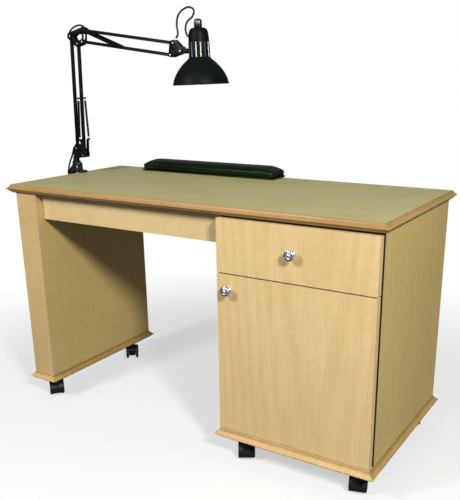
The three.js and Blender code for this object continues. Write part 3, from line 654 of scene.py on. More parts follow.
def plug_pieces():
    """A two-pin plug with a ribbed relief, lying on the floor behind the coil."""
    there = Matrix.Translation(at(-770, 154.6, 8.2))
    lying = there @ UPRIGHT_TO_Y
    ribs = [(0, 0), (3.6, 0), (3.6, 1.5)]
    for i in range(5):
        groove, rib, start = 3.3 + 0.25 * i, 4.2 + 0.3 * i, 2.8 * i
        ribs += [(groove, 2 + start), (rib, 3 + start), (rib, 4.2 + start)]
    neck = placed(lathe([*ribs, (5, 17), (0, 17)], 32), lying)
    loops = []
    for y_end, half_x, half_z in (
        (16, 5, 5), (20, 8, 6.6), (27, 11.6, 7.8), (40, 12, 7.9), (44, 11.4, 7.4), (45, 10.4, 6.4)
    ):
        corners = [(-half_x, -half_z), (half_x, -half_z), (half_x, half_z), (-half_x, half_z)]
        loops.append([(a, y_end, b) for a, b in rounded(corners, 4.2, 5)])
    faces = tube_faces(len(loops), len(loops[0]))
    grip = placed(mesh_of([v for loop in loops for v in loop], faces), there)
    body = show("plug_body", merged(neck, grip), plug_pvc, "root", ("power_plug",))
    pins = [
        box_mesh((dx - 0.75, 44, -3.1), (dx + 0.75, 62, 3.1), 0.35) for dx in (-6.3, 6.3)
    ]
    blades = show("plug_pins", placed(merged(*pins), there), pin_metal, "root")
    return [body, blades]


def tie_piece():
    """A twist tie that holds the coil's turns together."""
    ring = [(COIL_X, COIL_Y + 32 + a * 9.4, 6.4 + b * 6.9) for a, b in circle(1, 28)]
    strip = [(-2.2, -0.25), (2.2, -0.25), (2.2, 0.25), (-2.2, 0.25)]
    loop = placed(sweep(ring, [(v, u) for u, v in strip], closed=True), TABLE)
    return show("cord_tie", loop, grip_plastic, "root")


plug = plug_pieces()
tie = tie_piece()

# ---------------------------------------------------------------- boards
BOARDS = {
    "leg_front_panel": maple_leg,
    "leg_back_panel": maple_leg,
    "leg_outer_panel": maple_leg,
    "leg_inner_panel": maple_side,
    "front_apron": maple_apron,
    "cabinet_left_panel": maple_side,
    "cabinet_right_panel": maple_side,
    "cabinet_back_panel": maple_side,
    "drawer_front": maple,
    "door_panel": maple,
    "top_panel": laminate,
    "drawer_left_side": ply_x,
    "drawer_right_side": ply_x,
    "drawer_back": ply_y,
    "drawer_bottom": ply_z,
}
for name, material in BOARDS.items():
    board = frame["nodes"][name]
    board.data.materials.clear()
    board.data.materials.append(material)
    soft = board.modifiers.new("softened", "BEVEL")
    soft.width, soft.segments, soft.limit_method = 0.0006, 3, "ANGLE"

OGEE = [
    *[(3, -23.5), (6, -19.5), (9.5, -16.2)],
    *[(12.9, -14.1), (13.5, -13.5), (13.5, -12.5), (13.0, -11.9)],
    *spun([(12.2, -11.7), (10.4, -10.2), (7.6, -8), (5.2, -4.8), (4.2, -2.6)], 4),
    *[(3.9, -2.0), (2.4, -1.9), (1.9, -1.6), (1.8, -0.3), (1.5, 0)],
]


def moulding(name, node, low, high, top, thickness, scale, rails, step=None):
    """A mitred edge round a rectangle: an ogee, a nose and an undercut, and a base's upright step."""
    profile = [(out * scale, z) for out, z in OGEE if z > -thickness + 3]
    inner = [(0.3, 0), (0.3, -thickness)]
    if step:
        profile = profile[:-2]
        inner = [(-1.6, -1.7), (-1.6, 0), (0.3, 0), (0.3, step - 0.4), (0, step)]
    ring = [(3 * scale, -thickness), *profile, *inner]
    corners = [(low[0], low[1]), (high[0], low[1]), (high[0], high[1]), (low[0], high[1])]
    signs = [(-1, -1), (1, -1), (1, 1), (-1, 1)]
    vertices = [
        (x + sx * out, y + sy * out, top + z)
        for out, z in ring for (x, y), (sx, sy) in zip(corners, signs)
    ]
    mesh = mesh_of(vertices, tube_faces(len(ring), len(corners), closed=not step))
    for rail in rails:
        mesh.materials.append(rail)
    for face in mesh.polygons:
        lengths = [
            abs((mesh.vertices[b].co - mesh.vertices[a].co).x) for a, b in face.edge_keys
        ]
        if abs(face.normal.x) > abs(face.normal.y) + 1e-4 or max(lengths) < 0.06:
            face.material_index = 1
    return show(name, placed(mesh, TABLE), rails, "root", (node,), sharp=28)


def around(*nodes):
    """The lowest and highest corners of some nodes together, in the table's millimetres."""
    boxes = [[local(corner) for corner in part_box(node)] for node in nodes]
    low = Vector([min(box[0][i] for box in boxes) for i in range(3)])
    return low, Vector([max(box[1][i] for box in boxes) for i in range(3)])


TOP_EDGE, BASE_EDGE = 23.5, 22.5  # heights of the worktop's moulding and of a base below its step
STEP = 5.5
BASE_SCALE = 14.6 / 13.5  # a base's overhang, to the worktop's
low, high = around("top_panel")
moulding("top_moulding", "top_edge_moulding", low, high, high.z, TOP_EDGE, 1.0, [rail_x, rail_y])
low, high = around("leg_front_panel", "leg_back_panel")
base_top = local(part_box("leg_base")[1]).z - STEP
base = (base_top, BASE_EDGE, BASE_SCALE, [plinth_x, rail_y], STEP)
moulding("leg_plinth", "leg_base", low, high, *base)
low, high = around("door_panel", "cabinet_right_panel", "cabinet_left_panel")
moulding("cabinet_plinth", "cabinet_base", low, high, *base)

# ---------------------------------------------------------------- casters
WHEEL, TRAIL, HOOD = 25.0, 18.0, 27.8


def hood_mesh():
    """A caster's hood: a rounded shell over the wheels, a web between them, a hub and a stem."""
    section = rounded([(-25, HOOD - 7), (-25, HOOD), (25, HOOD), (25, HOOD - 7)], 5, 5)[6:18]
    outer = [(-25, HOOD - 6), *section, (25, HOOD - 6)]
    inner = [(y * 23.2 / 25, r - 1.9) for y, r in reversed(outer)]
    loop = [*outer, *inner]
    vertices, steps = [], 30
    for i in range(steps + 1):
        angle = math.radians(-32 + 182 * i / steps)
        vertices += [
            (-TRAIL + r * math.cos(angle), y, WHEEL + r * math.sin(angle)) for y, r in loop
        ]
    shell = mesh_of(vertices, tube_faces(steps + 1, len(loop)))
    outline = [
        (-TRAIL + r * math.cos(math.radians(a)), WHEEL + r * math.sin(math.radians(a)))
        for r, turns in ((26.5, range(-32, 151, 13)), (16, range(190, 301, 10))) for a in turns
    ]
    web = plate(outline, -13, 13, bevel=1.2)
    hub_profile = [
        (0, 44), (11.4, 44), (11.4, 60), (10.4, 62), (10.4, 67.5), (7.5, 69.2), (5, 69.4), (5, 84), (0, 84),
    ]
    collar_profile = [(12.6, 55), (13.4, 55.8), (13.4, 58.2), (12.6, 59), (11, 59), (11, 55), (12.6, 55)]
    hub, collar = lathe(hub_profile, 32), lathe(collar_profile, 32)
    ribs = [box_mesh((10, y - 0.9, 40), (15.5, y + 0.9, 53), 0.4) for y in (-6, 0, 6)]
    return merged(shell, web, hub, collar, *ribs)


def wheels_mesh():
    """The twin wheels: crowned treads, dished sides with a raised rim and an axle cap."""
    side = [
        (3, 14), (24.2, 14), (WHEEL - 0.3, 14.6), (WHEEL, 15.6), (WHEEL, 21), (WHEEL - 0.6, 23),
        (WHEEL - 2.2, 24), (20.6, 24), (20, 23.6), (19.4, 22.4),
        (9.6, 21.6), (9, 22), (8.6, 23.2), (7.6, 23.8), (3, 24), (0, 24),
    ]
    one = placed(lathe([(0, 14), *side], 48), UPRIGHT_TO_Y)
    other = one.copy()
    placed(other, Matrix.Rotation(math.pi, 4, "Z"))
    axle = placed(lathe([(0, -15), (3, -15), (3, 15), (0, 15)], 16), UPRIGHT_TO_Y)
    return placed(merged(one, other, axle), Matrix.Translation((-TRAIL / 1000, 0, WHEEL / 1000)))


caster_hood, caster_wheels = hood_mesh(), wheels_mesh()
for joint in [j for j in frame["joints"] if j["name"].endswith("_roll")]:
    name = joint["name"].removesuffix("_roll")
    swivel, axle = pivot(f"{name}_swivel"), pivot(joint["name"])
    facing = math.atan2(swivel.y - axle.y, swivel.x - axle.x)
    spot = Matrix.Translation(at(swivel.x, swivel.y, 0)) @ Matrix.Rotation(facing, 4, "Z")
    hood = placed(caster_hood.copy(), spot)
    show(f"{name}_hood", hood, nylon, f"{name}_caster", (f"{name}_caster_hood",))
    pair = placed(caster_wheels.copy(), spot)
    show(f"{name}_wheels", pair, tread, f"{name}_caster_wheels", (f"{name}_caster_twin_wheels",))

# ---------------------------------------------------------------- knobs
KNOB = [
    (0, 0), (8, 0), (8.3, 0.4), (8.3, 1.6), (7.6, 2.4), (6, 3.4), (5.3, 5), (5.2, 10), (6.4, 13), (9.4, 16),
    (13.6, 18.4), (15.1, 19.6), (15.5, 20.8), (15.3, 22.2), (14.2, 23.6), (12.9, 24.4), (12.1, 24.4),
    (11.6, 23.7), (10.9, 23.3), (10.2, 23.5), (9.4, 24.1), (8.2, 24.5), (7.2, 24.2), (6.6, 23.6), (6.0, 23.5),
    (5.4, 24.0), (4.2, 25.2), (2.4, 25.8), (0, 26),
]


def knob_ripple(angle, radius, height):
    """Flutes round the knob's ring of petals."""
    return radius + (0.35 * math.cos(16 * angle) if 7.4 < radius < 11.4 and height > 20 else 0)


for body in ("drawer", "door"):
    low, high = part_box(f"{body}_knob")
    seat = local(((low.x + high.x) / 2, high.y, (low.z + high.z) / 2))
    turned_knob = lathe(KNOB, 96, knob_ripple)
    turned_knob.materials.append(chrome)
    turned_knob.materials.append(painted_dark_chrome)
    for face in turned_knob.polygons:
        radius, height = math.hypot(*face.center[:2]) * 1000, face.center.z * 1000
        # the grooves get painted shade and the outer rim a painted dark reflection
        grooved = height > 20 and any(a < radius < b for a, b in ((5.2, 6.8), (9.9, 12)))
        shaded = radius > 14.9 or grooved
        face.material_index = int(shaded)
    placed(turned_knob, aim(seat, (0, -1, 0)))
    show(f"{body}_pull", turned_knob, [chrome, painted_dark_chrome], body, (f"{body}_knob",), sharp=50)

# ---------------------------------------------------------------- lamp arm
PLATE_IN, PLATE_OUT = 7.0, 9.2
LOWER_BAR, UPPER_BAR = Vector((14, 378)), Vector((376, -51.5))
YOKE_FRONT, YOKE_REAR = pivot("lower_arm"), pivot("lower_arm_rear")
ELBOW_FRONT, ELBOW_TOP, ELBOW_LOW = pivot("elbow_level"), pivot("upper_arm"), pivot("upper_arm_low")
ELBOW_REAR = YOKE_REAR + Vector((LOWER_BAR.x, 0, LOWER_BAR.y))
HEAD_TOP = pivot("head_level")
HEAD_LOW = ELBOW_LOW + Vector((UPPER_BAR.x, 0, UPPER_BAR.y))
TILT = pivot("head_tilt")
YOKE_SPRING = Vector((-617, ARM_Y, 880))
LOWER_PIN = YOKE_FRONT + Vector((LOWER_BAR.x, 0, LOWER_BAR.y)).normalized() * 198
UPPER_PIN = ELBOW_LOW + Vector((UPPER_BAR.x, 0, UPPER_BAR.y)).normalized() * 174
YOKE_PLATE = [(-668, 812), (-606, 819), (-603, 836), (-638, 860), (-657, 864), (-664, 850)]
ELBOW_PLATE = [
    (-651, 1222), (-650, 1234), (-643, 1239), (-577, 1255), (-564, 1249), (-563, 1238), (-574, 1231),
    (-576, 1203), (-588, 1197), (-612, 1192), (-621, 1198),
]
ELBOW_WINDOW = [(-622, 1225), (-612, 1212), (-597, 1212), (-584, 1217), (-581, 1233), (-611, 1232)]
HEAD_PLATE = [(-209, 1199), (-191, 1202), (-160, 1175), (-159, 1161), (-203, 1149), (-217, 1152)]


def bracket(outline, windows=(), radius=4.5):
    """The pair of stamped plates on both sides of the bars."""
    window_rings = [rounded(w, 2.5) for w in windows]
    sides = [
        plate(rounded(outline, radius), ARM_Y + a, ARM_Y + b, window_rings, 0.45)
        for a, b in ((-PLATE_OUT, -PLATE_IN), (PLATE_IN, PLATE_OUT))
    ]
    return merged(*sides)


def rivet(point, head=3.2):
    """A rivet with domed heads outside both plates."""
    dome = [(0, 0), (head, 0), (head, 0.5), (head * 0.92, 1.1), (head * 0.6, 1.6), (0, 1.8)]
    shank = placed(lathe([(0, -PLATE_OUT), (2.8, -PLATE_OUT), (2.8, PLATE_OUT), (0, PLATE_OUT)], 16),
                   UPRIGHT_TO_Y)
    heads = []
    for side in (-1, 1):
        turn = Matrix.Rotation(-side * math.pi / 2, 4, "X")
        heads.append(placed(lathe(dome, 24), Matrix.Translation((0, side * PLATE_OUT / 1000, 0)) @ turn))
    return placed(merged(shank, *heads), Matrix.Translation(Vector(point) / 1000))


def pin(point, half, radius):
    """A cross pin with grooved ends that the springs hook on to."""
    profile = [(0, -half), (radius, -half), (radius + 0.7, -half + 0.6), (radius + 0.7, -half + 1.6)]
    profile += [(radius - 0.4, -half + 2.2), (radius - 0.4, -half + 5), (radius, -half + 5.6)]
    profile += [(r, -y) for r, y in reversed(profile)]
    turned_pin = placed(lathe(profile, 20), UPRIGHT_TO_Y)
    return placed(turned_pin, Matrix.Translation(Vector(point) / 1000))


def bar(start, vector):
    """A square tube with flattened, rounded ends and a hole at each pivot."""
    length = vector.length
    outline = []
    for centre, sign in ((0, 1), (length, -1)):
        for k in range(13):
            angle = math.radians(124 + 112 * k / 12) if sign > 0 else math.radians(-56 + 112 * k / 12)
            outline.append((centre + 6 * math.cos(angle), 6 * math.sin(angle)))
        neck = (centre + sign * 7, -5.0 if sign > 0 else 5.0)
        far = (length - 7, -5.0) if sign > 0 else (7, 5.0)
        outline += [neck, far]
    holes = [[(u + a, b) for a, b in circle(3.2, 20)] for u in (0, length)]
    drawn = plate(outline, -5, 5, holes, 1.1)
    turn = Matrix.Rotation(-math.atan2(vector.y, vector.x), 4, "Y")
    return placed(drawn, Matrix.Translation(Vector(start) / 1000) @ turn)


def washer(point):
    """The thin washers between a bar and its bracket's plates."""
    ring = [(3.1, 5.15), (6.3, 5.15), (6.3, 6.85), (3.1, 6.85), (3.1, 5.15)]
    near = placed(lathe(ring, 24), UPRIGHT_TO_Y)
    far = placed(near.copy(), Matrix.Rotation(math.pi, 4, "Z"))
    return placed(merged(near, far), Matrix.Translation(Vector(point) / 1000))


def coil_spring(name, start, end, y_start, y_end, radius, wire, turns, node):
    """A close-wound extension spring with a hook at each end."""
    a = Vector((start.x, ARM_Y + y_start, start.z))
    b = Vector((end.x, ARM_Y + y_end, end.z))
    axis = (b - a).normalized()
    side = axis.cross(Vector((0, 1, 0))).normalized()
    other = axis.cross(side)
    gap, hook = 9.0, 3.2
    length = (b - a).length - 2 * gap
    path = []
    for k in range(9):
        angle = math.pi * (1.35 - 1.35 * k / 8)
        path.append(a + side * hook * math.sin(angle) + axis * (hook - hook * math.cos(angle) - hook))
    count = turns * 10
    for i in range(count + 1):
        angle = 2 * math.pi * i / 10
        path.append(
            a + axis * (gap + length * i / count)
            + (side * math.cos(angle) + other * math.sin(angle)) * (radius - wire / 2)
        )
    for k in range(9):
        angle = math.pi * (1.35 * k / 8)
        path.append(b - side * hook * math.sin(angle) - axis * (hook - hook * math.cos(angle) - hook))
    made = show(name, placed(sweep(path, circle(wire / 2, 6)), TABLE), spring_steel, None, (node,))
    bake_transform(made)


yoke_neck = box_mesh((-672, ARM_Y - 9, 806.5), (-656, ARM_Y + 9, 819), 1.2)
SWIVEL_AXIS = Matrix.Translation((-0.665, ARM_Y / 1000, 0))
spindle_profile = [
    (0, 776), (6, 776), (6, 803.4), (10.5, 803.4), (11, 804), (11, 806.2), (10.4, 806.8), (0, 806.8),
]
spindle = placed(lathe(spindle_profile, 32), SWIVEL_AXIS)
HORN_FOOT = 826
horns = []
for side in (-1, 1):
    lean = math.atan2(8, YOKE_SPRING.z - HORN_FOOT)
    horn = plate(rounded([(-622, 822), (-608, 822), (-612, 884), (-622, 884)], 3), -1.4, 1.4, bevel=0.4)
    foot = Matrix.Translation((0, (ARM_Y + side * PLATE_OUT) / 1000, HORN_FOOT / 1000))
    leaning = foot @ Matrix.Rotation(-side * lean, 4, "X")
    horns.append(placed(horn, leaning @ Matrix.Translation((0, 0, -HORN_FOOT / 1000))))
    stub = [(0, 0), (2.6, 0), (2.6, 9.5), (3.3, 10.2), (3.3, 11.6), (2.6, 12), (0, 12)]
    turn = Matrix.Rotation(-side * math.pi / 2, 4, "X")
    spot = Matrix.Translation(Vector((YOKE_SPRING.x, ARM_Y + side * 15, YOKE_SPRING.z)) / 1000)
    horns.append(placed(lathe(stub, 20), spot @ turn))
yoke = merged(bracket(YOKE_PLATE), yoke_neck, spindle, *horns, washer(YOKE_REAR), washer(YOKE_FRONT))
show("yoke_frame", placed(yoke, TABLE), black, "arm_yoke", ("arm_yoke",))
show("yoke_rivets", placed(merged(rivet(YOKE_REAR), rivet(YOKE_FRONT)), TABLE), rivet_metal, "arm_yoke")



def tube(name, drawn, body):
    """Shows one of the arm's tubes, which has its body to itself."""
    show(name, placed(drawn, TABLE), black_tube, body, (body,))


tube("rear_tube", bar(YOKE_REAR, LOWER_BAR), "lower_rear_bar")
tube("front_tube", merged(bar(YOKE_FRONT, LOWER_BAR), pin(LOWER_PIN, 20, 2.5)), "lower_front_bar")
elbow_pivots = (ELBOW_REAR, ELBOW_FRONT, ELBOW_LOW, ELBOW_TOP)
elbow = merged(
    bracket(ELBOW_PLATE, [ELBOW_WINDOW]), pin(ELBOW_TOP, 20, 2.5), *[washer(p) for p in elbow_pivots]
)
show("elbow_frame", placed(elbow, TABLE), black, "elbow_bracket", ("elbow_bracket",))
elbow_rivets = merged(*[rivet(p) for p in elbow_pivots[:3]])
show("elbow_rivets", placed(elbow_rivets, TABLE), rivet_metal, "elbow_bracket")
tube("low_tube", merged(bar(ELBOW_LOW, UPPER_BAR), pin(UPPER_PIN, 20, 2.5)), "upper_low_bar")
tube("top_tube", bar(ELBOW_TOP, UPPER_BAR), "upper_top_bar")
head_pivots = (HEAD_TOP, HEAD_LOW, TILT)
head = merged(bracket(HEAD_PLATE), *[washer(p) for p in head_pivots])
show("head_frame", placed(head, TABLE), black, "head_bracket", ("head_bracket",))
show("head_rivets", placed(merged(*[rivet(p) for p in head_pivots]), TABLE), rivet_metal, "head_bracket")

for name, side in (("near", -1), ("far", 1)):
    coil_spring(
        f"lower_{name}_coil", YOKE_SPRING, LOWER_PIN, side * 23, side * 16, 4.2, 1.5, 78,
        f"lower_{name}_spring",
    )
    coil_spring(
        f"upper_{name}_coil", ELBOW_TOP, UPPER_PIN, side * 15.5, side * 15.5, 4.2, 1.5, 96,
        f"upper_{name}_spring",
    )

# ---------------------------------------------------------------- lamp head
RIM, LEAN = Vector((-98.8, ARM_Y, 1067)), math.radians(-1.8)
HEAD = Matrix.Translation(at(*RIM)) @ Matrix.Rotation(LEAN, 4, "Y")
tongue = plate(
    rounded([(-8, -7), (-3, -8), (4, -8), (20, -6.4), (20, 6.4), (9, 12), (-4, 8), (-8, 4)], 5),
    -4.9, 4.9, [circle(3.1, 20)], 0.9,
)
barrel = [
    (0, 16), (7.2, 16), (7.6, 17), (7.6, 26), (6.6, 27.5), (4.2, 28), (4.2, 33), (7.4, 33.6), (7.4, 34.8),
    (0, 34.8),
]
turned_barrel = placed(lathe(barrel, 32), Matrix.Rotation(math.pi / 2, 4, "Y"))
link = placed(merged(tongue, turned_barrel), Matrix.Translation(Vector(TILT) / 1000))
show("link_body", placed(link, TABLE), black, "head_link", ("head_link",))
wing_outline = [(-3, -3.5), (3, -3.5), (4, 3), (10, 9), (6, 12), (0, 6), (-6, 12), (-10, 9), (-4, 3)]
wing = plate(rounded(wing_outline, 2.2), -1.4, 1.4, bevel=0.5)
wing_place = Matrix.Translation(at(TILT.x + 4, ARM_Y + PLATE_OUT + 4.4, TILT.z + 1))
wing_turned = placed(wing, wing_place @ Matrix.Rotation(0.5, 4, "Y"))
show("tilt_wing_nut", wing_turned, grip_plastic, "head_bracket")

SHELL = [
    *spun(
        [(87.4, 0.8), (84.5, 14), (77.5, 30), (68.5, 44), (57, 58), (45, 69), (36.6, 76.4), (33.9, 79.6)], 4
    ),
    *[(33.2, 81.2), (33, 82.4), (32.8, 88), (32.4, 112), (32.2, 123), (32.1, 124.6)],
    *spun([(32, 126.5), (31.8, 132), (31, 142), (30, 151), (28.5, 156)], 3),
    *[(27, 159.4), (25, 162), (22.4, 164.2), (19, 165.6), (15, 166), (4.6, 166)],
]
LINING = [(4.6, 164.4), (14.5, 164.4), (21.8, 162.4), (26.6, 155), (29, 141.6), (30.4, 112), (30.7, 80)]
LINING += spun(
    [(34.5, 74.6), (43.8, 67.2), (55.5, 56.4), (66.8, 42.8), (75.6, 29.2), (82.5, 13.6), (85.5, 0.8)], 3
)
ROLLED = [(86, 0.1), (87.2, -0.0), (88, 0.5), (88.2, 1.4), (87.6, 2.2)]
VENTS, VENT_LOW, VENT_HIGH = 14, 81.8, 124
VENT_TURN = -1.27  # turn of the first vent
PAINTED_LIT_VENTS = (0, 1, 3, 7, 8, 10)  # vents painted the white lining's colour: painted light on the neck where bright streaks show


def vent_at(angle, height):
    """The number of the vent at a place on the neck, or None between the vents round its lower half."""
    turn = (angle - VENT_TURN) * VENTS / (2 * math.pi)
    if VENT_LOW < height < VENT_HIGH and abs(turn - round(turn)) < 0.13:
        return round(turn) % VENTS
    return None


def neck_surface(angle, radius, height):
    """The neck between its vents bulges a little, and each vent is a hollow."""
    if not VENT_LOW < height < VENT_HIGH:
        return radius
    return radius + 0.5 if vent_at(angle, height) is None else radius - 1.1


outer = placed(lathe([ROLLED[-1], *SHELL[1:]], 180, neck_surface), HEAD)
outer.materials.append(shade_paint)
outer.materials.append(shade_lining)
outer.materials.append(vent_shadow)
to_shade = HEAD.inverted()
for face in outer.polygons:
    spot = to_shade @ face.center * 1000
    vent = vent_at(math.atan2(spot.y, spot.x), spot.z)
    # painted light: the chosen vents take the white lining colour, the other vents the grey-blue vent_shadow
    # paint
    if vent is not None:
        face.material_index = 1 if vent in PAINTED_LIT_VENTS else 2
inner_shell = placed(lathe(LINING, 96), HEAD)
rim = placed(lathe([(85.5, 0.8), *ROLLED], 96), HEAD)
rim.materials.append(shade_paint)
shell_paints = [shade_paint, shade_lining, vent_shadow]
show("shade_shell", merged(outer, rim), shell_paints, "lamp_head", ("lamp_shade",), sharp=50)
show("shade_lining", inner_shell, shade_lining, "lamp_head")
BULB = spun(
    [(0, 20), (12, 22.5), (22, 30), (28.5, 42), (29.5, 54), (25, 68), (17, 82), (14, 94), (13.4, 101)], 4
)
bulb = placed(lathe([(0, 20), *BULB[1:], (0, 101)], 48), HEAD)
show("bulb_envelope", bulb, frosted, "lamp_head", ("lamp_bulb",))
SOCKET = [
    (0, 100), (17, 100), (18, 101), (18, 108), (17.2, 110), (17.2, 124), (18, 126), (18, 150), (14, 160),
    (0, 162),
]
show("bulb_socket", placed(lathe(SOCKET, 40), HEAD), socket_white, "lamp_head")
grommet_turns = [math.pi * k / 12 for k in range(24)]
grommet_path = [Vector((0, 5 * math.cos(a), 5 * math.sin(a))) for a in grommet_turns]
grommet_place = Matrix.Translation(at(-135.2, ARM_Y, 1204.2))
grommet = placed(sweep(grommet_path, circle(1.4, 8), closed=True), grommet_place)
show("neck_grommet", grommet, grip_plastic, "lamp_head")


def knurl(angle, radius, height):
    """Vertical ribs round the switch knob."""
    return radius + (0.28 * math.cos(24 * angle) if 168 < height < 186 and radius > 9 else 0)


SWITCH = [
    (0, 164.6), (3.7, 164.6), (3.7, 166.7), (11.4, 166.7), (11.8, 167.4), (12.2, 169), (12.2, 176),
    (12.1, 183),
]
SWITCH += spun([(11.9, 185), (10.6, 188.4), (8.2, 190.6), (4.6, 191.8), (0, 192)], 4)
switch = placed(lathe(SWITCH, 120, knurl), HEAD)
show("switch_cap", switch, switch_plating, "switch_knob", ("switch_knob",), sharp=60)

# ---------------------------------------------------------------- lamp clamp
FOOT_TOP, SEAT = 770.0, 762.3
hook = [
    (-701, 690), (-633.5, 690), (-633.5, 702), (-684, 702), (-684, SEAT), (-627.5, SEAT), (-627.5, FOOT_TOP),
    (-701, FOOT_TOP),
]
frame_part = plate(rounded(hook, 3.4), ARM_Y - 15, ARM_Y + 15, bevel=1.4)
fins = [
    (-701, 768), (-627.5, 768), (-632, 772), (-646, 776), (-652, 801), (-679, 801), (-686, 786), (-699, 774),
]
fin = plate(rounded(fins, 3), ARM_Y - 4, ARM_Y + 4, bevel=1)
cup_profile = [
    (15.6, 768), (15.2, 772), (13.6, 778), (13.4, 792), (14.6, 796), (15, 797), (15, 802.2), (14.4, 803),
]
cup = placed(lathe([(0, 768), *cup_profile, (6.6, 803), (6.6, 776), (0, 776)], 48), SWIVEL_AXIS)
buttresses = []
for angle in (-2.35, -0.8, 0.8, 2.35):
    rib = plate([(12, 768), (22, 768), (15.5, 780), (14, 795), (12, 795)], -2, 2, bevel=0.7)
    buttresses.append(placed(rib, SWIVEL_AXIS @ Matrix.Rotation(angle, 4, "Z")))
clamp = merged(frame_part, fin, cup, *buttresses)
show("clamp_casting", placed(clamp, TABLE), cast_paint, "root", ("lamp_clamp",))


def threaded(radius, low, high, pitch=1.6):
    """A spindle's thread, as a ridge that climbs round it."""
    count = int((high - low) / pitch * 16)
    path = []
    for i in range(count + 1):
        x, y = radius * math.cos(i * math.pi / 8), radius * math.sin(i * math.pi / 8)
        path.append(Vector((x, y, low + (high - low) * i / count)))
    core = lathe([(0, low), (radius, low), (radius, high), (0, high)], 24)
    ridge = sweep(path, [(-0.55, 0), (0, -0.45), (0.55, 0), (0, 0.45)])
    return merged(core, ridge)


def grip_ripple(angle, radius, height):
    return radius + (0.8 * math.cos(8 * angle) if radius > 6 and height < 643 else 0)


PAD_TOP = local(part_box("clamp_screw")[1]).z
handle_profile = [
    (0, 108), (6.8, 108), (7.9, 106.8), (8.2, 104), (8.2, 96), (7.4, 93.6), (5, 92), (0, 92),
]
pad_profile = [(0, 8), (4.6, 8), (7.6, 5), (8, 4), (8, 0.6), (7.4, 0), (0, 0)]
handle = lathe([(r, PAD_TOP - down) for r, down in handle_profile], 64, grip_ripple)
swivel_pad = lathe([(r, PAD_TOP - down) for r, down in pad_profile], 32)
spindle_spot = Matrix.Translation(at(-641, ARM_Y, 0))
screw = merged(threaded(3.7, PAD_TOP - 93, PAD_TOP - 7), swivel_pad)
show("screw_spindle", placed(screw, spindle_spot), zinc, "clamp_screw", ("clamp_screw",))
show("screw_handle", placed(handle, spindle_spot), grip_plastic, "clamp_screw")
lock = pivot("swivel_lock_turn")
shank = placed(lathe([(0, -8), (2.9, -8), (2.9, 2), (6.2, 2.4), (6.2, 5), (4.4, 6), (0, 6)], 28),
               Matrix.Rotation(math.pi / 2, 4, "Y"))
paddle_outline = [(1.5, -4), (5, -13), (10, -14), (12, -11), (12, 11), (10, 14), (5, 13), (1.5, 4)]
paddle = plate(rounded(paddle_outline, 3), -2.6, 2.6, bevel=1)
lock_wing = placed(merged(shank, paddle), Matrix.Translation(at(*lock)))
show("lock_wing", lock_wing, grip_plastic, "swivel_lock", ("swivel_lock_screw",))


# ---------------------------------------------------------------- armrest
def box_outline(low, high, inset, radius):
    """The pad's rectangle, inset, with rounded corners."""
    x0, x1, y0, y1 = low.x + inset, high.x - inset, low.y + inset, high.y - inset
    return rounded([(x0, y0), (x1, y0), (x1, y1), (x0, y1)], radius, 8)


def cushion_mesh(low, high):
    """The cushion before it swells: upright sides and a domed top."""
    section = [(3, 5), (3, 20), (4.5, 22), (9, 25), (18, 29.5), (29, 33), (40, 35.3), (46, 36)]
    outline = box_outline(low, high, 0, 16)
    middle = Vector(((low.x + high.x) / 2, (low.y + high.y) / 2))
    vertices = []
    for inset, rise in section:
        for x, y in outline:
            away = Vector((x, y)) - middle
            reach = [math.copysign(max(abs(d) - inset, 0.5), d) for d in away]
            vertices.append((middle.x + reach[0], middle.y + reach[1], low.z + rise))
    return placed(mesh_of(vertices, tube_faces(len(section), len(outline))), TABLE)


def evaluated_mesh(made):
    return bpy.data.meshes.new_from_object(made.evaluated_get(bpy.context.evaluated_depsgraph_get()))


VOXEL, PRESSURE, CLOTH_STEPS = 0.004, 4, 20
FARTHEST = 0.005  # a point of the cushion moves no farther, in metres


def swell(pad, lowest, highest):
    """Blows the cushion up a little as cloth, and keeps each point near where it was."""
    cloth = pad.modifiers.new("swell", "CLOTH")
    cloth.settings.use_pressure = True
    cloth.settings.uniform_pressure_force = PRESSURE
    cloth.settings.effector_weights.gravity = 0
    for step in range(1, CLOTH_STEPS + 1):
        scene.frame_set(step)
    swelled = evaluated_mesh(pad)
    pad.modifiers.clear()
    scene.frame_set(1)
    for vertex, target in zip(pad.data.vertices, swelled.vertices):
        move = target.co - vertex.co
        if move.length > FARTHEST:
            move *= FARTHEST / move.length
        vertex.co += move
        vertex.co.z = min(max(vertex.co.z, lowest), highest)


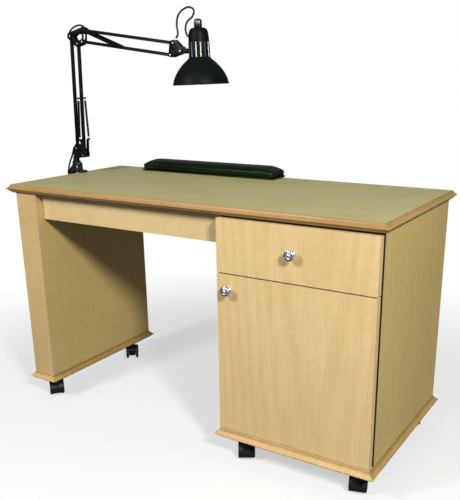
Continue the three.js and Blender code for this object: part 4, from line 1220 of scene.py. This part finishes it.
def armrest_pad():
    """A foam pad under stretched vinyl on a thin board, with piping where the top meets the sides."""
    low, high = [local(corner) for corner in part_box("armrest_pad")]
    pad = bpy.data.objects.new("cushion", cushion_mesh(low, high))
    scene.collection.objects.link(pad)
    voxels = pad.modifiers.new("voxels", "REMESH")
    voxels.mode, voxels.voxel_size = "VOXEL", VOXEL
    pad.data = evaluated_mesh(pad)
    pad.modifiers.clear()
    swell(pad, CENTRE.z + (low.z + 5) / 1000, CENTRE.z + high.z / 1000)
    mesh = pad.data
    bpy.data.objects.remove(pad)
    shaped = bmesh.new()
    shaped.from_mesh(mesh)
    for _ in range(2):
        bmesh.ops.smooth_vert(
            shaped, verts=shaped.verts, factor=0.5, use_axis_x=True, use_axis_y=True, use_axis_z=True
        )
    shaped.to_mesh(mesh)
    shaped.free()
    cushion = show("armrest_cushion", mesh, vinyl, "root", ("armrest_pad",), sharp=180)
    fine = cushion.modifiers.new("fine", "SUBSURF")
    fine.levels = fine.render_levels = 1

    surface = BVHTree.FromPolygons([v.co for v in mesh.vertices], [tuple(p.vertices) for p in mesh.polygons])
    welt, welt_height = [], low.z + 21
    for x, y in box_outline(low, high, 0, 16):
        start = at(min(max(x, low.x + 40), high.x - 40), (low.y + high.y) / 2, welt_height)
        outwards = (at(x, y, welt_height) - start).normalized()
        hit = surface.ray_cast(start + outwards * 0.2, -outwards)[0]
        if hit is not None:
            welt.append(local(hit))
    piping = sweep(welt, circle(1.3, 8), closed=True)
    show("armrest_piping", placed(piping, TABLE), vinyl, "root")
    board = plate(box_outline(low, high, 3, 14), -low.z - 5.6, -low.z - 0.2, bevel=0.6)
    lay_flat = TABLE @ UPRIGHT_TO_Y
    show("armrest_board", placed(board, lay_flat), vinyl, "root")


armrest_pad()

# ---------------------------------------------------------------- drawer runners and door hinges
for side, face in (("left", 1), ("right", -1)):
    low, high = [local(corner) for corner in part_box(f"drawer_{side}_runner")]
    z0, z1, x0, x1 = low.z, high.z, low.x, high.x
    y0, y1 = low.y + 1, high.y - 1
    wall = x0 if face > 0 else x1
    web = (wall, wall + face * 1.4)
    parts = [
        box_mesh((min(web), y0, z0 + 1), (max(web), y1, z1 - 1), 0.4),
        box_mesh((x0 + 0.1, y0, z0 + 0.4), (x1 - 0.8, y1, z0 + 1.8), 0.4),
        box_mesh((x0 + 0.1, y0, z1 - 1.8), (x1 - 0.8, y1, z1 - 0.4), 0.4),
        box_mesh((x0 + 4.5, low.y + 4, z0 + 8), (x1 - 4, high.y - 60, z1 - 8), 0.8),
    ]
    show(f"drawer_{side}_slide", placed(merged(*parts), TABLE), zinc, "root", (f"drawer_{side}_runner",))
for level in ("upper", "lower"):
    low, high = [local(corner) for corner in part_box(f"door_{level}_hinge_cup")]
    x, z = low.x + 16, (low.z + high.z) / 2
    cup_shape = [(0, 0), (16, 0), (17.4, 0.2), (17.4, 1.2), (16, 1.4), (16, 9.6), (15, 10.6), (0, 10.6)]
    face = low.y
    cup_part = placed(lathe(cup_shape, 40), Matrix.Translation(Vector((x, face, z)) / 1000) @ UPRIGHT_TO_Y)
    flange_outline = [(x - 8, z - 26), (x + 13, z - 26), (x + 13, z + 26), (x - 8, z + 26)]
    flange = plate(rounded(flange_outline, 6), face, face + 1.6, bevel=0.4)
    screw_head = [(0, 0), (3.6, 0), (3.4, 0.8), (2.2, 1.5), (0, 1.7)]
    screws = []
    for dz in (-21, 21):
        spot = Matrix.Translation(Vector((x + 2, face + 1.5, z + dz)) / 1000)
        screws.append(placed(lathe(screw_head, 20), spot @ UPRIGHT_TO_Y))
    arm = box_mesh((x + 2, face + 3, z - 7), (x + 15, face + 10.5, z + 7), 1.2)
    show(f"door_{level}_hinge", placed(merged(cup_part, flange, arm, *screws), TABLE), zinc, "door",
         (f"door_{level}_hinge_cup",))

# ---------------------------------------------------------------- stage
def nodes_of(tree, *kinds):
    """Adds shader nodes to a tree by their kinds."""
    return [tree.nodes.new("ShaderNode" + kind) for kind in kinds]


def paper_floor():
    """White paper that fades into the white backdrop, and throws little light back up."""
    material = bpy.data.materials.new("floor")
    material.use_nodes = True
    tree = material.node_tree
    coords, distance, fade, glow, joined, seen, ray, lit = nodes_of(
        tree, "TexCoord", "VectorMath", "MapRange", "Emission", "MixShader", "Mix", "LightPath", "MixShader"
    )
    distance.operation = "LENGTH"
    fade.interpolation_type = "SMOOTHSTEP"
    for socket, value in zip((1, 2, 3, 4), (0.7, 1.9, 0.55, 1.0)):
        fade.inputs[socket].default_value = value
    paper = tree.nodes["Principled BSDF"]
    seen.data_type = "RGBA"
    seen.inputs[6].default_value = (0.22, 0.22, 0.22, 1)
    seen.inputs[7].default_value = (0.85, 0.85, 0.84, 1)
    paper.inputs["Roughness"].default_value = 0.9
    paper.inputs["Specular IOR Level"].default_value = 0.1
    glow.inputs["Color"].default_value = (1, 1, 1, 1)
    lit.inputs[0].default_value = 0
    for start, end in (
        (coords.outputs["Object"], distance.inputs[0]),
        (distance.outputs["Value"], fade.inputs["Value"]),
        (ray.outputs["Is Camera Ray"], seen.inputs[0]),
        (seen.outputs[2], paper.inputs["Base Color"]),
        (fade.outputs["Result"], joined.inputs[0]),
        (paper.outputs["BSDF"], joined.inputs[1]),
        (glow.outputs["Emission"], joined.inputs[2]),
        (ray.outputs["Is Camera Ray"], lit.inputs[0]),
        (paper.outputs["BSDF"], lit.inputs[1]),
        (joined.outputs["Shader"], lit.inputs[2]),
        (lit.outputs["Shader"], tree.nodes["Material Output"].inputs["Surface"]),
    ):
        tree.links.new(start, end)
    return material


floor_mesh = bpy.data.meshes.new("floor")
floor_mesh.from_pydata([(-30, -30, 0), (30, -30, 0), (30, 30, 0), (-30, 30, 0)], [], [(0, 1, 2, 3)])
floor_mesh.materials.append(paper_floor())
floor = bpy.data.objects.new("floor", floor_mesh)
scene.collection.objects.link(floor)
floor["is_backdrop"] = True


def studio_world():
    """A white backdrop to the camera, and for light a dim studio with a bright wall behind the table."""
    world = bpy.data.worlds.new("studio")
    world.use_nodes = True
    scene.world = world
    tree = world.node_tree
    coords, split, behind, above, total, ray, backdrop, chosen = nodes_of(
        tree, "TexCoord", "SeparateXYZ", "MapRange", "MapRange", "Math", "LightPath", "Background",
        "MixShader",
    )
    for node, low, high, strength in ((behind, 0.0, 0.6, 0.14), (above, 0.3, 0.9, 0.2)):
        for socket, value in zip((1, 2, 3, 4), (low, high, 0.03, strength)):
            node.inputs[socket].default_value = value
    room = tree.nodes["Background"]
    room.inputs["Color"].default_value = (0.95, 0.97, 1, 1)
    backdrop.inputs["Color"].default_value = (1, 1, 1, 1)
    for start, end in (
        (coords.outputs["Generated"], split.inputs[0]),
        (split.outputs["Y"], behind.inputs["Value"]),
        (split.outputs["Z"], above.inputs["Value"]),
        (behind.outputs["Result"], total.inputs[0]),
        (above.outputs["Result"], total.inputs[1]),
        (total.outputs["Value"], room.inputs["Strength"]),
        (ray.outputs["Is Camera Ray"], chosen.inputs[0]),
        (room.outputs["Background"], chosen.inputs[1]),
        (backdrop.outputs["Background"], chosen.inputs[2]),
        (chosen.outputs["Shader"], tree.nodes["World Output"].inputs["Surface"]),
    ):
        tree.links.new(start, end)


studio_world()
scene.view_settings.view_transform = "Standard"


def softbox(name, place, target, size, power):
    light = bpy.data.lights.new(name, "AREA")
    light.shape, light.size, light.energy = "DISK", size, power
    lamp = bpy.data.objects.new(name, light)
    lamp.location = place
    lamp.rotation_euler = (Vector(place) - Vector(target)).to_track_quat("Z", "Y").to_euler()
    scene.collection.objects.link(lamp)


softbox("left_light", (-0.96, -2.41, 2.16), (0.1, 0, 0.5), 0.6, 52)
softbox("right_light", (2.55, -1.96, 2.3), (0.1, 0, 0.5), 0.5, 114)

low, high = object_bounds()
